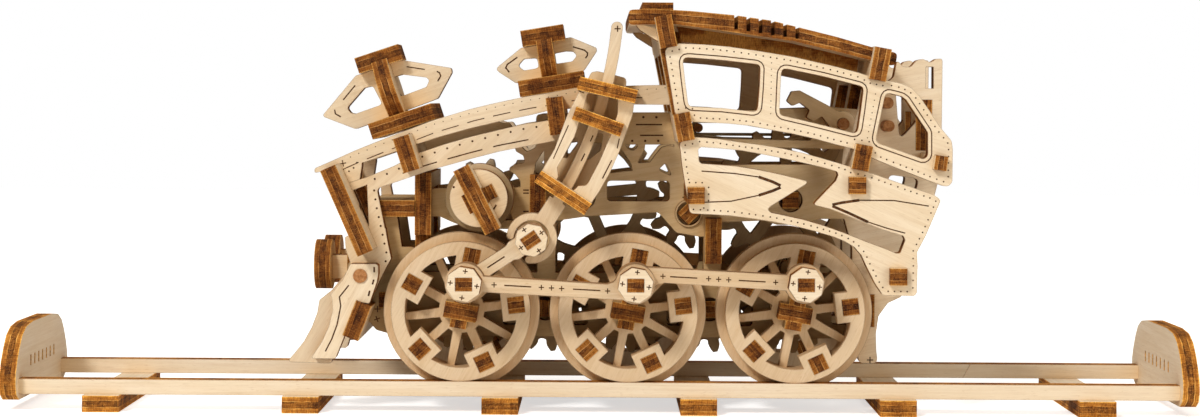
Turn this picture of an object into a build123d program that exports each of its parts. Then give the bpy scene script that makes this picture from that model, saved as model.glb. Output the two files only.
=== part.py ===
from build123d import *
import math
import os

# A laser-cut plywood steam locomotive on a length of track.
# X runs along the track with the locomotive's nose towards -X, Y across it, Z up.
# The origin is under the middle of the track, on the surface it stands on. Sizes are millimetres.

PLY = 4.0                  # thickness of every sheet part
# track
TRACK_HALF = 144.5         # half the length over the end stops
SLEEPER_X = (-120.2, -72.1, -24.0, 24.0, 72.1, 120.2)
SLEEPER_WIDE = 8.8
SLEEPER_HALF = 26.5
RAIL_IN = 19.9             # inner face of each rail
RAIL_OUT = 23.9
RAIL_TOP = 7.65
# running gear
WHEEL_X = (-33.7, 6.8, 47.3)
AXLE_Z = 24.55
TREAD_R = 16.9
FLANGE_R = 19.05
RIM_R = 13.6               # inside of both rims
PIN_X, PIN_Z = 1.6, 7.8    # crank pin from the wheel's centre
ROD_W = 3.8
# layers, as distance from the middle plane
CH0, CH1 = 10.0, 14.0      # chassis side plates
FL0, FL1 = 15.5, 19.5      # flange discs
TR0, TR1 = 19.5, 23.5      # tread discs
BAND0, BAND1 = 15.5, 19.5  # boiler side bands
HOOK0, HOOK1 = 23.8, 27.3  # piston rod and its open hook
LINK0, LINK1 = 27.5, 31.5  # connecting links, rear coupling rods
RODA0, RODA1 = 31.5, 35.5  # front coupling rods
WASH0, WASH1 = 35.5, 39.5  # outer washers
CAB0, CAB1 = 33.5, 37.5    # cab side panels
TAB = 39.5                 # ends of the tabs that stand through the cab panels
# gears
MODULE = 1.6875
PRESSURE = 25.0
BACKLASH = 0.25
L1 = (-6.0, -2.0)          # first gear layer
L2 = (2.0, 6.0)            # second gear layer
# piston rod and cylinder lie on one arc
CROSSHEAD = (-16.5, 42.6)
ROD_TOP = (3.7, 93.3)
ARC_R = 98.7
CAB_UPPER = [(14.85, 88.14), (18.17, 89.44), (24.33, 89.24), (29.95, 88.76), (37.14, 87.76), (45.34, 86.45), (50.44, 85.3), (55.57, 84.15), (60.7, 82.81), (64.04, 81.79), (67.89, 80.94), (70.96, 80.3), (73.26, 79.3), (75.07, 77.52), (80.24, 69.88), (82.8, 66.82), (83.08, 64.77), (83.03, 57.1), (82.12, 56.06), (80.82, 56.17), (78.26, 57.07), (73.13, 59.07), (68.51, 60.83), (64.16, 62.6), (60.3, 64.63), (55.69, 65.74), (50.56, 67.12), (45.45, 68.22), (40.32, 69.11), (35.19, 70.09), (30.07, 70.58), (24.94, 70.81), (21.38, 70.93), (17.52, 72.53)]
CAB_WINDOW_1 = [(19.13, 86.24), (28.23, 85.58), (37.56, 84.58), (37.36, 79.03), (36.92, 73.36), (28.53, 74.25), (20.62, 74.56), (19.76, 80.81)]
CAB_WINDOW_2 = [(42.52, 83.85), (52.09, 81.95), (62.0, 79.49), (61.35, 73.99), (60.53, 68.32), (51.22, 70.62), (42.09, 72.71), (42.27, 78.59)]
CAB_WINDOW_3 = [(67.13, 78.22), (70.98, 77.23), (72.0, 76.48), (77.17, 68.82), (77.21, 63.2), (76.2, 62.42), (65.41, 66.2), (64.91, 67.21)]
CAB_PEG_HOLE = [(78.58, 63.47), (81.53, 63.02), (81.55, 59.59), (78.6, 60.05)]
CAB_LOWER = [(18.57, 66.17), (22.16, 67.37), (27.54, 66.98), (32.67, 66.25), (37.77, 65.62), (42.9, 64.78), (48.03, 63.68), (53.16, 62.27), (58.29, 60.77), (64.18, 59.01), (68.53, 57.51), (73.67, 55.74), (78.8, 54.01), (80.36, 52.86), (78.5, 48.36), (76.81, 44.36), (74.8, 40.5), (74.94, 37.13), (74.81, 30.87), (74.25, 30.16), (66.79, 30.23), (64.84, 33.19), (62.88, 37.05), (61.66, 39.69), (59.97, 41.61), (57.55, 43.04), (55.14, 43.99), (50.31, 45.4), (45.49, 46.57), (40.67, 47.51), (35.82, 48.19), (31.01, 48.8), (26.19, 49.1), (21.13, 49.3), (20.16, 54.84), (19.17, 60.74)]
CAB_LOWER_M = [(22.98, 64.49), (23.68, 64.99), (28.5, 64.67), (33.32, 64.23), (38.14, 63.38), (42.98, 62.45), (47.81, 61.41), (52.63, 60.33), (55.75, 59.41), (56.11, 58.68), (55.53, 57.24), (50.16, 51.56), (54.6, 50.48), (59.43, 48.57), (66.69, 45.74), (71.52, 44.33), (72.0, 43.36), (70.81, 40.22), (69.84, 40.21), (66.96, 41.4), (62.37, 43.07), (57.54, 44.95), (52.71, 46.62), (47.89, 48.03), (40.16, 49.68), (39.45, 50.38), (40.15, 51.12), (48.54, 56.46), (48.71, 56.91), (48.47, 57.19), (43.03, 58.53), (37.59, 59.67), (31.69, 60.58), (23.7, 61.12), (23.18, 61.71)]
BAND_UPPER = [(-69.8, 58.85), (-64.45, 61.22), (-59.78, 63.35), (-55.13, 65.25), (-50.49, 67.13), (-45.82, 68.89), (-41.17, 70.7), (-36.52, 72.12), (-31.87, 73.57), (-27.2, 74.74), (-22.55, 75.79), (-17.9, 76.77), (-13.22, 77.53), (-6.5, 78.87), (1.16, 79.31), (8.86, 79.57), (14.32, 79.73), (17.25, 79.75), (17.28, 74.89), (15.77, 74.89), (7.67, 74.91), (-2.71, 74.23), (-12.95, 73.24), (-17.87, 72.02), (-24.86, 70.56), (-31.85, 68.88), (-38.83, 66.89), (-44.4, 65.07), (-50.46, 62.94), (-57.49, 60.48), (-63.58, 58.98), (-69.79, 57.72)]
BAND_LOWER = [(-62.7, 54.94), (-56.96, 56.83), (-50.44, 59.55), (-44.39, 62.76), (-37.87, 65.02), (-31.83, 66.79), (-25.53, 68.36), (-19.24, 69.89), (-13.67, 70.78), (-9.52, 71.39), (-9.49, 66.24), (-17.82, 64.63), (-24.81, 63.22), (-31.8, 61.37), (-38.78, 59.38), (-42.51, 58.23), (-48.08, 56.27), (-54.14, 54.16), (-54.45, 53.41), (-52.77, 45.39), (-51.08, 37.33), (-52.36, 34.28), (-55.01, 37.33), (-58.87, 45.84)]
BAND_LOWER_HOLE = [(-60.33, 53.59), (-56.97, 54.93), (-56.47, 44.69)]
COW_BLADE = [(-60.54, 35.92), (-54.27, 35.96), (-53.74, 35.51), (-53.72, 33.35), (-54.03, 31.61), (-55.83, 26.29), (-58.43, 26.83), (-61.31, 19.67), (-63.96, 12.95), (-70.01, 12.91), (-67.23, 17.05), (-65.63, 20.74), (-64.68, 24.62), (-64.92, 27.64), (-65.36, 28.29), (-63.44, 30.68), (-62.36, 31.99), (-61.07, 34.59)]
COW_INNER = [(-68.43, 26.8), (-65.25, 29.26), (-60.08, 30.03), (-58.58, 26.35), (-61.02, 21.9), (-63.7, 18.19), (-65.38, 11.28), (-76.27, 11.59), (-74.26, 13.94), (-72.11, 16.68), (-70.17, 20.22), (-68.86, 23.72)]
NOSE_PIN = [(-58.01, 32.87)]
HEX_1 = [(-69.89, 71.8), (-61.75, 81.7), (-57.91, 82.93), (-51.22, 85.86), (-37.73, 83.79), (-37.57, 82.58), (-41.05, 76.07), (-42.96, 75.33), (-59.03, 69.22), (-61.67, 68.25), (-69.63, 71.22)]
HEX_1_WIN_A = [(-63.89, 73.54), (-62.9, 72.29), (-61.69, 72.1), (-54.99, 74.53), (-57.41, 79.09), (-59.57, 78.6)]
HEX_1_WIN_B = [(-52.62, 81.28), (-49.99, 82.03), (-43.97, 81.33), (-43.24, 80.61), (-43.96, 78.95), (-50.43, 76.49)]
HEX_2 = [(-26.84, 83.48), (-20.19, 88.95), (-16.47, 89.55), (-11.45, 91.09), (-7.68, 91.69), (-1.23, 89.07), (-1.13, 88.26), (-4.31, 83.34), (-7.88, 82.19), (-14.66, 80.89), (-21.49, 80.04)]
HEX_2_WIN_A = [(-21.06, 84.37), (-19.47, 86.14), (-16.2, 86.41), (-15.68, 83.9), (-19.45, 83.25)]
BRACKET = [(7.73, 94.4), (15.62, 92.54), (15.64, 88.96), (12.77, 90.37), (9.17, 92.62)]
HEX_2_WIN_B = [(-12.31, 87.49), (-8.92, 88.16), (-7.16, 88.1), (-6.15, 87.1), (-7.29, 85.61), (-11.54, 84.95)]
CROSS_1 = [(-55.27, 84.75), (-51.22, 72.42)]
CAP_1 = [(-61.21, 85.63), (-51.3, 89.0), (-50.41, 85.92), (-60.0, 82.33)]
BASE_1 = [(-57.44, 69.21), (-41.55, 74.9), (-40.92, 71.55), (-56.4, 65.95)]
CAP_2 = [(-20.21, 92.43), (-10.19, 94.5), (-9.28, 91.29), (-19.52, 88.81)]
CROSS_2 = [(-14.34, 89.95), (-12.75, 80.92)]
BASE_2 = [(-20.25, 79.92), (-4.85, 83.05), (-4.39, 79.14), (-19.79, 76.66)]
FORMER_1 = [(-48.09, 66.81), (-45.4, 58.69)]
FORMER_2 = [(-11.29, 76.37), (-10.14, 67.52)]
BULKHEAD = [(-43.59, 57.9), (-43.48, 40.12)]
SHELF = [(-53.3, 49.07), (-45.68, 49.12)]
NOSE = [(-65.22, 59.0), (-56.34, 39.12)]
COW_BAR = [(-57.23, 26.15), (-60.59, 17.84)]
BUFFER = [(-68.4, 40.83), (-68.32, 28.59)]
BUFFER_STEM = [(-66.19, 34.85), (-61.8, 34.87)]
ROOF = [(6.38, 97.36), (12.54, 97.65), (21.23, 97.16), (31.53, 96.23), (40.27, 95.01), (46.44, 93.51), (55.68, 91.25), (64.43, 88.75), (70.07, 87.5), (69.6, 84.42), (63.93, 85.76), (55.7, 87.77), (45.44, 90.17), (31.55, 92.14), (17.7, 93.99), (6.41, 93.76)]
ROOF_TOP = [(9.82, 99.55), (17.33, 99.59), (17.34, 97.66), (9.83, 97.61)]
TAB_A = [(14.65, 95.81), (15.64, 88.53)]
TAB_B = [(65.97, 88.61), (65.31, 81.08)]
TAB_C = [(19.03, 72.56), (20.01, 66.68)]
TAB_D = [(60.47, 65.19), (62.39, 59.58)]
PEG_A = [(60.48, 56.21)]
PEG_B = [(69.83, 34.75)]
PEG_C = [(22.44, 53.57)]
PEG_D = [(80.07, 61.59)]
REAR = [(84.03, 86.72), (83.86, 69.58), (82.59, 52.83), (74.46, 52.78), (72.78, 86.26), (75.99, 84.8), (78.44, 86.78), (80.9, 85.81)]
REAR_HOLE = [(79.93, 84.58), (81.77, 84.59), (81.81, 79.3), (79.96, 79.28)]
REAR_LEG = [(74.12, 27.91), (70.2, 25.92), (67.68, 22.21), (67.19, 18.76), (67.31, 14.82), (67.75, 11.5)]
MID_BAR = [(6.06, 72.79), (18.12, 72.87), (18.17, 65.09), (6.11, 65.01)]
MID_WIN = [(1.51, 56.07), (16.97, 56.17), (17.0, 51.14), (1.54, 51.05)]
MID_LOW = [(-2.58, 47.87), (13.74, 48.61), (15.01, 47.61), (18.81, 42.36), (25.09, 42.13)]
POST_R = [(27.59, 47.69), (27.66, 36.14)]
POST_M = [(-16.19, 57.28), (-16.14, 48.38)]
DOWELS = [(59.16, 70.46), (70.16, 70.04), (69.89, 75.66)]
BRACE = [(29.87, 67.53), (49.48, 76.99)]
HOOKP = [(46.89, 77.96), (56.47, 69.95)]
CABPOST = [(13.39, 90.69), (13.44, 82.89)]
RODTAIL = [(3.7, 93.31), (2.58, 80.55)]
PLUS_R = [(66.59, 12.35)]
LEG = [(-52.42, 44.42), (-51.63, 39.57), (-50.96, 36.97), (-52.14, 34.79), (-54.09, 30.85), (-55.1, 28.43), (-57.05, 28.42), (-60.49, 31.69), (-60.98, 36.08), (-62.09, 39.24), (-62.26, 42.14), (-60.56, 42.91), (-56.67, 44.88)]
UP_LEG = [(-65.05, 59.46), (-63.59, 60.93), (-58.13, 63.89), (-58.27, 59.5), (-58.81, 55.84), (-62.82, 54.11)]
CLAMPS = [(1.48, 78.39), (-0.7, 70.82), (-8.93, 53.92)]
CYL_FRONT = [(-4.61, 80.71), (7.82, 77.92), (7.84, 75.06), (7.57, 72.55), (4.73, 64.44), (2.43, 59.1), (-0.31, 54.17), (-2.32, 51.18), (-3.46, 49.69), (-14.24, 56.78), (-14.18, 58.79), (-11.04, 64.2), (-8.11, 72.24), (-5.35, 77.82)]
CYL_FRONT_WIN = [(-3.23, 77.61), (-4.07, 74.41), (-5.73, 69.05), (-6.36, 67.14), (-8.88, 62.45), (-10.37, 59.88), (-10.14, 57.74), (-10.66, 56.47), (-6.71, 54.04), (-5.33, 55.43), (-3.52, 55.56), (-2.88, 56.3), (-0.14, 61.64), (2.16, 67.19), (3.94, 72.74), (4.01, 76.16)]
CYL_BACK = [(-2.65, 82.24), (-2.26, 82.72), (-0.93, 82.93), (3.82, 81.89), (5.78, 81.35), (6.1, 80.5), (5.77, 76.0), (5.07, 71.15), (2.93, 65.08), (0.54, 59.5), (-0.99, 53.44), (-2.88, 49.74), (-4.23, 49.3), (-13.72, 55.54), (-13.49, 58.44), (-10.86, 63.79), (-7.76, 71.55), (-5.13, 77.14)]
CYL_BACK_WIN_A = [(-5.92, 66.96), (-5.69, 65.27), (-8.16, 61.87), (-9.64, 62.1), (-8.21, 65.5)]
CYL_BACK_WIN_B = [(-1.2, 67.72), (0.49, 67.73), (-0.06, 63.8), (-2.74, 61.63), (-3.59, 61.65), (-2.15, 65.05)]
BEAM_TOP = [(18.99, 63.76), (17.85, 64.62), (16.6, 64.86), (14.85, 64.35), (13.12, 62.1), (11.87, 60.34), (10.65, 58.84), (6.66, 58.56), (2.65, 58.02), (-3.87, 57.96), (-10.02, 57.67), (-13.71, 57.16), (-15.93, 56.65), (-16.78, 55.91), (-18.28, 54.67), (-20.79, 54.28), (-23.53, 55.13), (-26.01, 54.62), (-29.7, 54.1), (-39.55, 54.04), (-44.22, 53.52), (-47.18, 52.89), (-49.14, 52.51), (-49.51, 51.52), (-49.49, 49.79), (-46.16, 48.58)]
BEAM_BOT = [(-44.18, 47.0), (-39.51, 47.02), (-36.54, 45.69), (-32.1, 43.99), (-22.74, 44.05), (-17.33, 44.08), (-13.64, 45.09), (-11.31, 46.09), (-3.26, 47.27), (14.21, 48.37), (18.72, 43.4), (25.23, 42.31)]
BEAM_TRI = [(-23.2, 50.4), (-21.53, 46.23), (-25.71, 46.2)]
POST_TRI = [(14.22, 58.86), (16.01, 60.59), (17.65, 57.23)]
BRANCH_L = [(-20.84, 63.12), (-21.39, 64.5), (-20.66, 65.49), (-18.33, 63.14), (-17.59, 63.39), (-16.1, 64.16), (-15.74, 66.5), (-12.37, 66.52), (-12.36, 64.82), (-14.59, 62.67), (-16.07, 60.17), (-16.78, 55.91), (-16.77, 53.69), (-19.77, 53.67), (-19.79, 55.89), (-21.05, 57.48), (-22.56, 58.38), (-22.44, 59.27), (-21.32, 59.89), (-18.71, 60.4), (-19.09, 62.15)]
BRANCH_R = [(4.11, 64.93), (3.95, 66.62), (5.92, 66.64), (5.86, 65.13), (6.78, 63.96), (8.11, 63.55), (9.02, 64.44), (9.13, 66.16), (10.9, 66.17), (10.91, 64.97), (10.77, 63.83), (9.72, 61.83), (8.94, 60.47), (12.54, 60.79), (12.05, 59.19), (12.13, 57.81), (8.15, 57.29), (7.39, 60.32), (5.87, 62.79)]
TOP_RAIL = [(-43.56, 65.59), (-39.64, 68.82), (-32.27, 71.57), (-26.62, 73.2), (-25.86, 70.62), (-24.14, 70.14), (-22.66, 70.27), (-21.91, 69.17), (-21.17, 67.7), (-17.48, 68.46), (-13.05, 69.23), (-12.3, 66.77), (-17.95, 65.75), (-25.09, 64.23), (-32.21, 62.46), (-38.36, 60.7), (-42.05, 60.43)]
POST_F = [(-54.18, 51.24), (-49.13, 51.27), (-50.04, 47.08), (-48.74, 38.72), (-48.72, 36.75), (-52.25, 36.73), (-52.77, 41.16)]


def wire(pts, y):
    return Wire.make_polygon([Vector(x, y, z) for x, z in pts], close=True)


def plate(pts, y0, y1, holes=()):
    """A flat plate in the X-Z plane between two Y faces, with holes cut through it."""
    face = Face(wire(pts, y0), [wire(h, y0) for h in holes])
    return Solid.extrude(face, Vector(0, y1 - y0, 0))


def circle(x, z, r, n=36, start=0.0):
    return [(x + r * math.cos(start + 2 * math.pi * i / n), z + r * math.sin(start + 2 * math.pi * i / n)) for i in range(n)]


def disc(x, z, r, y0, y1, n=0):
    """A true round disc or dowel lying along Y."""
    return Solid.make_cylinder(r, y1 - y0, Plane(origin=(x, y0, z), x_dir=(1, 0, 0), z_dir=(0, 1, 0)))


def square(x, z, a, b, turn=0.0):
    c, s = math.cos(math.radians(turn)), math.sin(math.radians(turn))
    return [(x + u * c - w * s, z + u * s + w * c) for u, w in ((-a / 2, -b / 2), (a / 2, -b / 2), (a / 2, b / 2), (-a / 2, b / 2))]


def rect(x0, x1, z0, z1):
    return [(x0, z0), (x1, z0), (x1, z1), (x0, z1)]


def soft(pts, r):
    """Round each corner of an outline, by at most r."""
    out = []
    n = len(pts)
    for i in range(n):
        p, a, b = pts[i], pts[i - 1], pts[(i + 1) % n]
        va = (a[0] - p[0], a[1] - p[1])
        vb = (b[0] - p[0], b[1] - p[1])
        la, lb = math.hypot(*va), math.hypot(*vb)
        cosv = max(-1, min(1, (va[0] * vb[0] + va[1] * vb[1]) / (la * lb)))
        ang = math.acos(cosv)
        if ang > math.radians(158):
            out.append(p)
            continue
        t = min(r / math.tan(ang / 2), 0.45 * la, 0.45 * lb)
        p0 = (p[0] + va[0] / la * t, p[1] + va[1] / la * t)
        p1 = (p[0] + vb[0] / lb * t, p[1] + vb[1] / lb * t)
        for k in range(4):
            w = k / 3
            out.append(((1 - w) ** 2 * p0[0] + 2 * w * (1 - w) * p[0] + w * w * p1[0],
                        (1 - w) ** 2 * p0[1] + 2 * w * (1 - w) * p[1] + w * w * p1[1]))
    return out


def cross(x, z, angle, outline, t=PLY, holes=()):
    """A plate that crosses the model. Its outline is (u, y): u runs along the angle in the X-Z plane."""
    a = math.radians(angle)
    c, s = math.cos(a), math.sin(a)
    nx, nz = -s * t / 2, c * t / 2

    def loop(pts):
        return Wire.make_polygon([Vector(x + u * c - nx, y, z + u * s - nz) for u, y in pts], close=True)

    return Solid.extrude(Face(loop(outline), [loop(h) for h in holes]), Vector(2 * nx, 0, 2 * nz))


def band(u0, u1, h):
    return [(u0, -h), (u1, -h), (u1, h), (u0, h)]


def flat(*things):
    out = []
    for s in things:
        if isinstance(s, (list, tuple)):
            out += flat(*s)
        else:
            out += list(s.solids())
    return out


def minus(a, *tools):
    """a with the tools cut away, as one shape."""
    tools = flat(*tools)
    res = []
    for s in flat(a):
        box = s.bounding_box()
        near = [t for t in tools if touching(box, t.bounding_box())]
        if near:
            res += flat(s.cut(*near))
        else:
            res.append(s)
    return res


def touching(a, b):
    return (a.min.X < b.max.X and b.min.X < a.max.X and a.min.Y < b.max.Y
            and b.min.Y < a.max.Y and a.min.Z < b.max.Z and b.min.Z < a.max.Z)


def joined(*things):
    """Overlapping outlines cut as one sheet part."""
    parts = flat(*things)
    return flat(parts[0].fuse(*parts[1:]).clean())


def far(*things):
    """The same pieces on the far side of the model."""
    return [s.mirror(Plane.XZ) for s in flat(*things)]


def both(*things):
    return flat(*things) + far(*things)


def near(pts, d0, d1, holes=()):
    """A side plate on the near side: d0 and d1 are its distances from the middle plane."""
    return plate(pts, -d1, -d0, holes)


saved = []


def save(name, *things):
    solids = flat(*things)
    export_step(Compound(solids), f"parts/{name}.step")
    saved.append((name, len(solids)))


def gear(n, x, z, phase, y0, y1, hole):
    """An involute gear with a bore outline."""
    pr = MODULE * n / 2
    ra, rf = pr + 0.8 * MODULE, pr - 1.1 * MODULE
    pa = math.radians(PRESSURE)
    rb = pr * math.cos(pa)
    half = math.pi / (2 * n) - BACKLASH / 2 / pr / 2

    def inv(r):
        if r <= rb:
            return 0.0
        al = math.acos(rb / r)
        return math.tan(al) - al

    inv_p = math.tan(pa) - pa
    pts = []
    radii = [max(rf, min(rb, rf + 0.3)), (max(rf, rb) + pr) / 2, pr, (pr + ra) / 2, ra]
    for i in range(n):
        c = phase + 2 * math.pi * i / n
        wr = half + inv_p - inv(radii[0])
        pts.append((rf, c - min(wr + 0.06, math.pi / n * 0.93)))
        for r in radii:
            pts.append((r, c - (half + inv_p - inv(r))))
        for r in reversed(radii):
            pts.append((r, c + (half + inv_p - inv(r))))
        pts.append((rf, c + min(wr + 0.06, math.pi / n * 0.93)))
    return plate([(x + r * math.cos(a), z + r * math.sin(a)) for r, a in pts], y0, y1, hole)


def mesh(n1, c1, p1, n2, c2):
    """The phase of gear 2 that meshes with gear 1."""
    th = math.atan2(c2[1] - c1[1], c2[0] - c1[0])
    f1 = (th - p1) * n1 / (2 * math.pi)
    return th + math.pi - (0.5 - f1) * 2 * math.pi / n2


def plus(x, z, turn, a=8.0, b=4.0, clear=0.0):
    """The outline of two crossed strips."""
    a, b = a / 2 + clear, b / 2 + clear
    pts = [(-a, -b), (-b, -b), (-b, -a), (b, -a), (b, -b), (a, -b), (a, b), (b, b), (b, a), (-b, a), (-b, b), (-a, b)]
    c, s = math.cos(math.radians(turn)), math.sin(math.radians(turn))
    return [(x + u * c - w * s, z + u * s + w * c) for u, w in pts]


os.makedirs("parts", exist_ok=True)

# ---------------------------------------------------------------- track
rail_pts = rect(-TRACK_HALF, TRACK_HALF, PLY, RAIL_TOP)
rail_near = near(rail_pts, RAIL_IN, RAIL_OUT)
splice = [(94.2, 3.0), (200, 3.0), (200, 9.0), (97.4, 9.0)]
rail_far = plate(rail_pts, RAIL_IN, RAIL_OUT)
cutter = plate(splice, 15, 28)
rail_far_long = rail_far.cut(cutter)
rail_far_short = flat(rail_far.intersect(plate([(94.28, 3.0), (200, 3.0), (200, 9.0), (97.48, 9.0)], 15, 28)))
sleepers = [Solid.make_box(SLEEPER_WIDE, 2 * SLEEPER_HALF, PLY, Plane(origin=(x - SLEEPER_WIDE / 2, -SLEEPER_HALF, 0))) for x in SLEEPER_X]
stop_outline = [(-23.5, 2.5), (23.5, 2.5), (26.0, 4.0), (27.0, 6.5), (26.8, 9.0), (25.3, 12.0), (23.2, 15.0), (20.5, 17.8), (16.5, 19.6),
                (10.0, 20.3), (-10.0, 20.3), (-16.5, 19.6), (-20.5, 17.8), (-23.2, 15.0), (-25.3, 12.0), (-26.8, 9.0), (-27.0, 6.5), (-26.0, 4.0)]


def end_stop(x0):
    def loop(pts):
        return Wire.make_polygon([Vector(x0, y, z) for y, z in pts], close=True)
    slits = [[(y - 0.45, 9.6), (y + 0.45, 9.6), (y + 0.45, 12.2), (y - 0.45, 12.2)] for y in (-12, -8, -4, 0, 4, 8, 12)]
    body = Solid.extrude(Face(loop(stop_outline), [loop(s) for s in slits]), Vector(PLY, 0, 0))
    return minus(body, rail_near, rail_far)


save("sleepers", sleepers)
save("rail_near", rail_near)
save("rail_far", rail_far_long, rail_far_short)
save("end_stop_front", end_stop(-TRACK_HALF))
save("end_stop_rear", end_stop(TRACK_HALF - PLY))

# ---------------------------------------------------------------- gear train
W = [(x, AXLE_Z) for x in WHEEL_X]
ID = [((WHEEL_X[0] + WHEEL_X[1]) / 2, AXLE_Z), ((WHEEL_X[1] + WHEEL_X[2]) / 2, AXLE_Z)]
gC = (46.8, 51.55)
gB = (21.7, 48.2)
gA_dist = MODULE * 31 / 2
gA_ang = math.radians(171.6)
gA = (gB[0] + gA_dist * math.cos(gA_ang), gB[1] + gA_dist * math.sin(gA_ang))
gK_dist = MODULE * 30 / 2
gK_ang = math.radians(180.0)
gK = (gA[0] + gK_dist * math.cos(gK_ang), gA[1] + gK_dist * math.sin(gK_ang))
dC = math.hypot(gC[0] - W[2][0], gC[1] - W[2][1])
gC = (W[2][0] - 0.5, W[2][1] + math.sqrt((MODULE * 16) ** 2 - 0.25))
dBC = MODULE * 15
ang = math.atan2(gB[1] - gC[1], gB[0] - gC[0])
gB = (gC[0] + dBC * math.cos(ang), gC[1] + dBC * math.sin(ang))
gA = (gB[0] + gA_dist * math.cos(gA_ang), gB[1] + gA_dist * math.sin(gA_ang))
gK = (gA[0] + gK_dist * math.cos(gK_ang), gA[1] + gK_dist * math.sin(gK_ang))
ph = [0.1]
p_i1 = mesh(12, W[0], ph[0], 12, ID[0])
p_w2 = mesh(12, ID[0], p_i1, 12, W[1])
p_i2 = mesh(12, W[1], p_w2, 12, ID[1])
p_w3 = mesh(12, ID[1], p_i2, 12, W[2])
p_C = mesh(12, W[2], p_w3, 20, gC)
p_B = mesh(20, gC, p_C, 10, gB)
p_A = mesh(10, gB, p_B, 21, gA)
p_K = mesh(21, gA, p_A, 9, gK)

TURN = -10.0
SHAFT = 4.0
SHAFT_HOLE = 2.95
AXLE_HOLE = 4.56


def windows(x, z, n, r0, r1, web, start):
    """Openings between tapered spokes."""
    out = []
    for i in range(n):
        a0 = start + 2 * math.pi * i / n
        a1 = start + 2 * math.pi * (i + 1) / n
        i0, i1 = a0 + web[0] / 2 / r0, a1 - web[0] / 2 / r0
        o0, o1 = a0 + web[1] / 2 / r1, a1 - web[1] / 2 / r1
        pts = [(x + r0 * math.cos(i0), z + r0 * math.sin(i0))]
        for k in range(7):
            a = o0 + (o1 - o0) * k / 6
            pts.append((x + r1 * math.cos(a), z + r1 * math.sin(a)))
        pts.append((x + r0 * math.cos(i1), z + r0 * math.sin(i1)))
        out.append(pts)
    return out


PEG_R = 13.5
PEG_A = [math.radians(a) for a in (7, 79, 151, 223, 295)]


def tread(cx, cz):
    """Front disc: a ring with five square pads standing inwards, each with a peg hole."""
    inner = []
    pads = sorted(PEG_A)
    for i, a in enumerate(pads):
        b = pads[(i + 1) % 5] + (2 * math.pi if i == 4 else 0)
        w = 3.7
        # pad's two inner corners, then the ring's inner edge to the next pad
        for u, v in ((RIM_R * math.cos(math.asin(w / RIM_R)), -w), (9.9, -w), (9.9, w), (RIM_R * math.cos(math.asin(w / RIM_R)), w)):
            inner.append((cx + u * math.cos(a) - v * math.sin(a), cz + u * math.sin(a) + v * math.cos(a)))
        e = math.asin(w / RIM_R)
        for k in range(1, 6):
            t = a + e + (b - a - 2 * e) * k / 6
            inner.append((cx + RIM_R * math.cos(t), cz + RIM_R * math.sin(t)))
    ring = disc(cx, cz, TREAD_R, -TR1, -TR0)
    ring = ring.cut(plate(inner, -TR1 - 1, -TR0 + 1))
    pegs = [plate(square(cx + PEG_R * math.cos(a), cz + PEG_R * math.sin(a), 4, 4, math.degrees(a)), -TR1 - 1, -TR0 + 1) for a in PEG_A]
    return flat(ring.cut(*pegs))


def wheelset(i, phase, extra):
    cx, cz = W[i]
    n = i + 1
    px, pz = cx + PIN_X, cz + PIN_Z
    pins_hole = plate(square(px, pz, 4.0, 3.2), -TR1 - 2, -FL0 + 2)
    rims = tread(cx, cz)
    spokes = disc(cx, cz, FLANGE_R, -FL1, -FL0)
    tools = [plate(w, -FL1 - 1, -FL0 + 1) for w in windows(cx, cz, 10, 5.6, RIM_R, (2.3, 1.9), math.radians(7 + 18 + 18))]
    pegs = [plate(square(cx + PEG_R * math.cos(a), cz + PEG_R * math.sin(a), 4, 4, math.degrees(a)), -TR1 + 0.2, -FL0 - 0.2) for a in PEG_A]
    spokes = spokes.cut(*tools)
    # a boss carries the crank pin where it falls between two spokes
    boss = disc(px, pz, 3.6, -FL1, -FL0)
    spokes = flat(spokes.fuse(boss).clean())
    axle_cut = plate(plus(cx, cz, TURN, clear=0.02), -26, 26)
    peg_tools = [plate(square(cx + PEG_R * math.cos(a), cz + PEG_R * math.sin(a), 4, 4, math.degrees(a)), -TR1 - 1, -FL0 + 1) for a in PEG_A]
    spokes = minus(spokes, peg_tools, pins_hole, axle_cut)
    rims = minus(rims, pins_hole)
    save(f"wheel_{n}_treads", both(rims))
    save(f"wheel_{n}_spoked_discs", both(spokes))
    # the axle is two strips halved into each other
    full = plate(plus(cx, cz, TURN), -24.6, 24.6)
    a = plate(square(cx, cz, 8, 4, TURN), -24.6, 24.6)
    b = plate(square(cx, cz, 4, 8, TURN), -24.6, 24.6)
    wide = plate(square(cx, cz, 30, 30, 0), 0, 30)
    wide2 = plate(square(cx, cz, 30, 30, 0), -30, 0)
    b_far = flat(b.intersect(wide))
    a_near = flat(a.intersect(wide2))
    strip_1 = minus(a, b_far)
    strip_2 = minus(b, a_near)
    gears = [gear(12, cx, cz, phase, L1[0], L1[1], [plus(cx, cz, TURN, clear=0.02)])]
    if extra:
        gears.append(gear(12, cx, cz, phase, L2[0], L2[1], [plus(cx, cz, TURN, clear=0.02)]))
    save(f"axle_{n}", strip_1, strip_2, gears)
    # crank pin, its outer washer and the rim pegs
    outer = WASH1 if i < 2 else LINK1 + PLY
    pin = plate(square(px, pz, 4.0, 3.2), -outer + 0.2, -FL0 - 0.2)
    w0, w1 = (WASH0, WASH1) if i < 2 else (LINK1, LINK1 + PLY)
    octa = near(circle(px, pz, 4.3, 8, math.radians(22.5 + TURN)), w0 + 0.05, w1, [square(px, pz, 4.0, 3.2)])
    save(f"crank_pins_{n}", both(pin, octa, pegs))


wheelset(0, ph[0], False)
wheelset(1, p_w2, False)
wheelset(2, p_w3, True)


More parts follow.
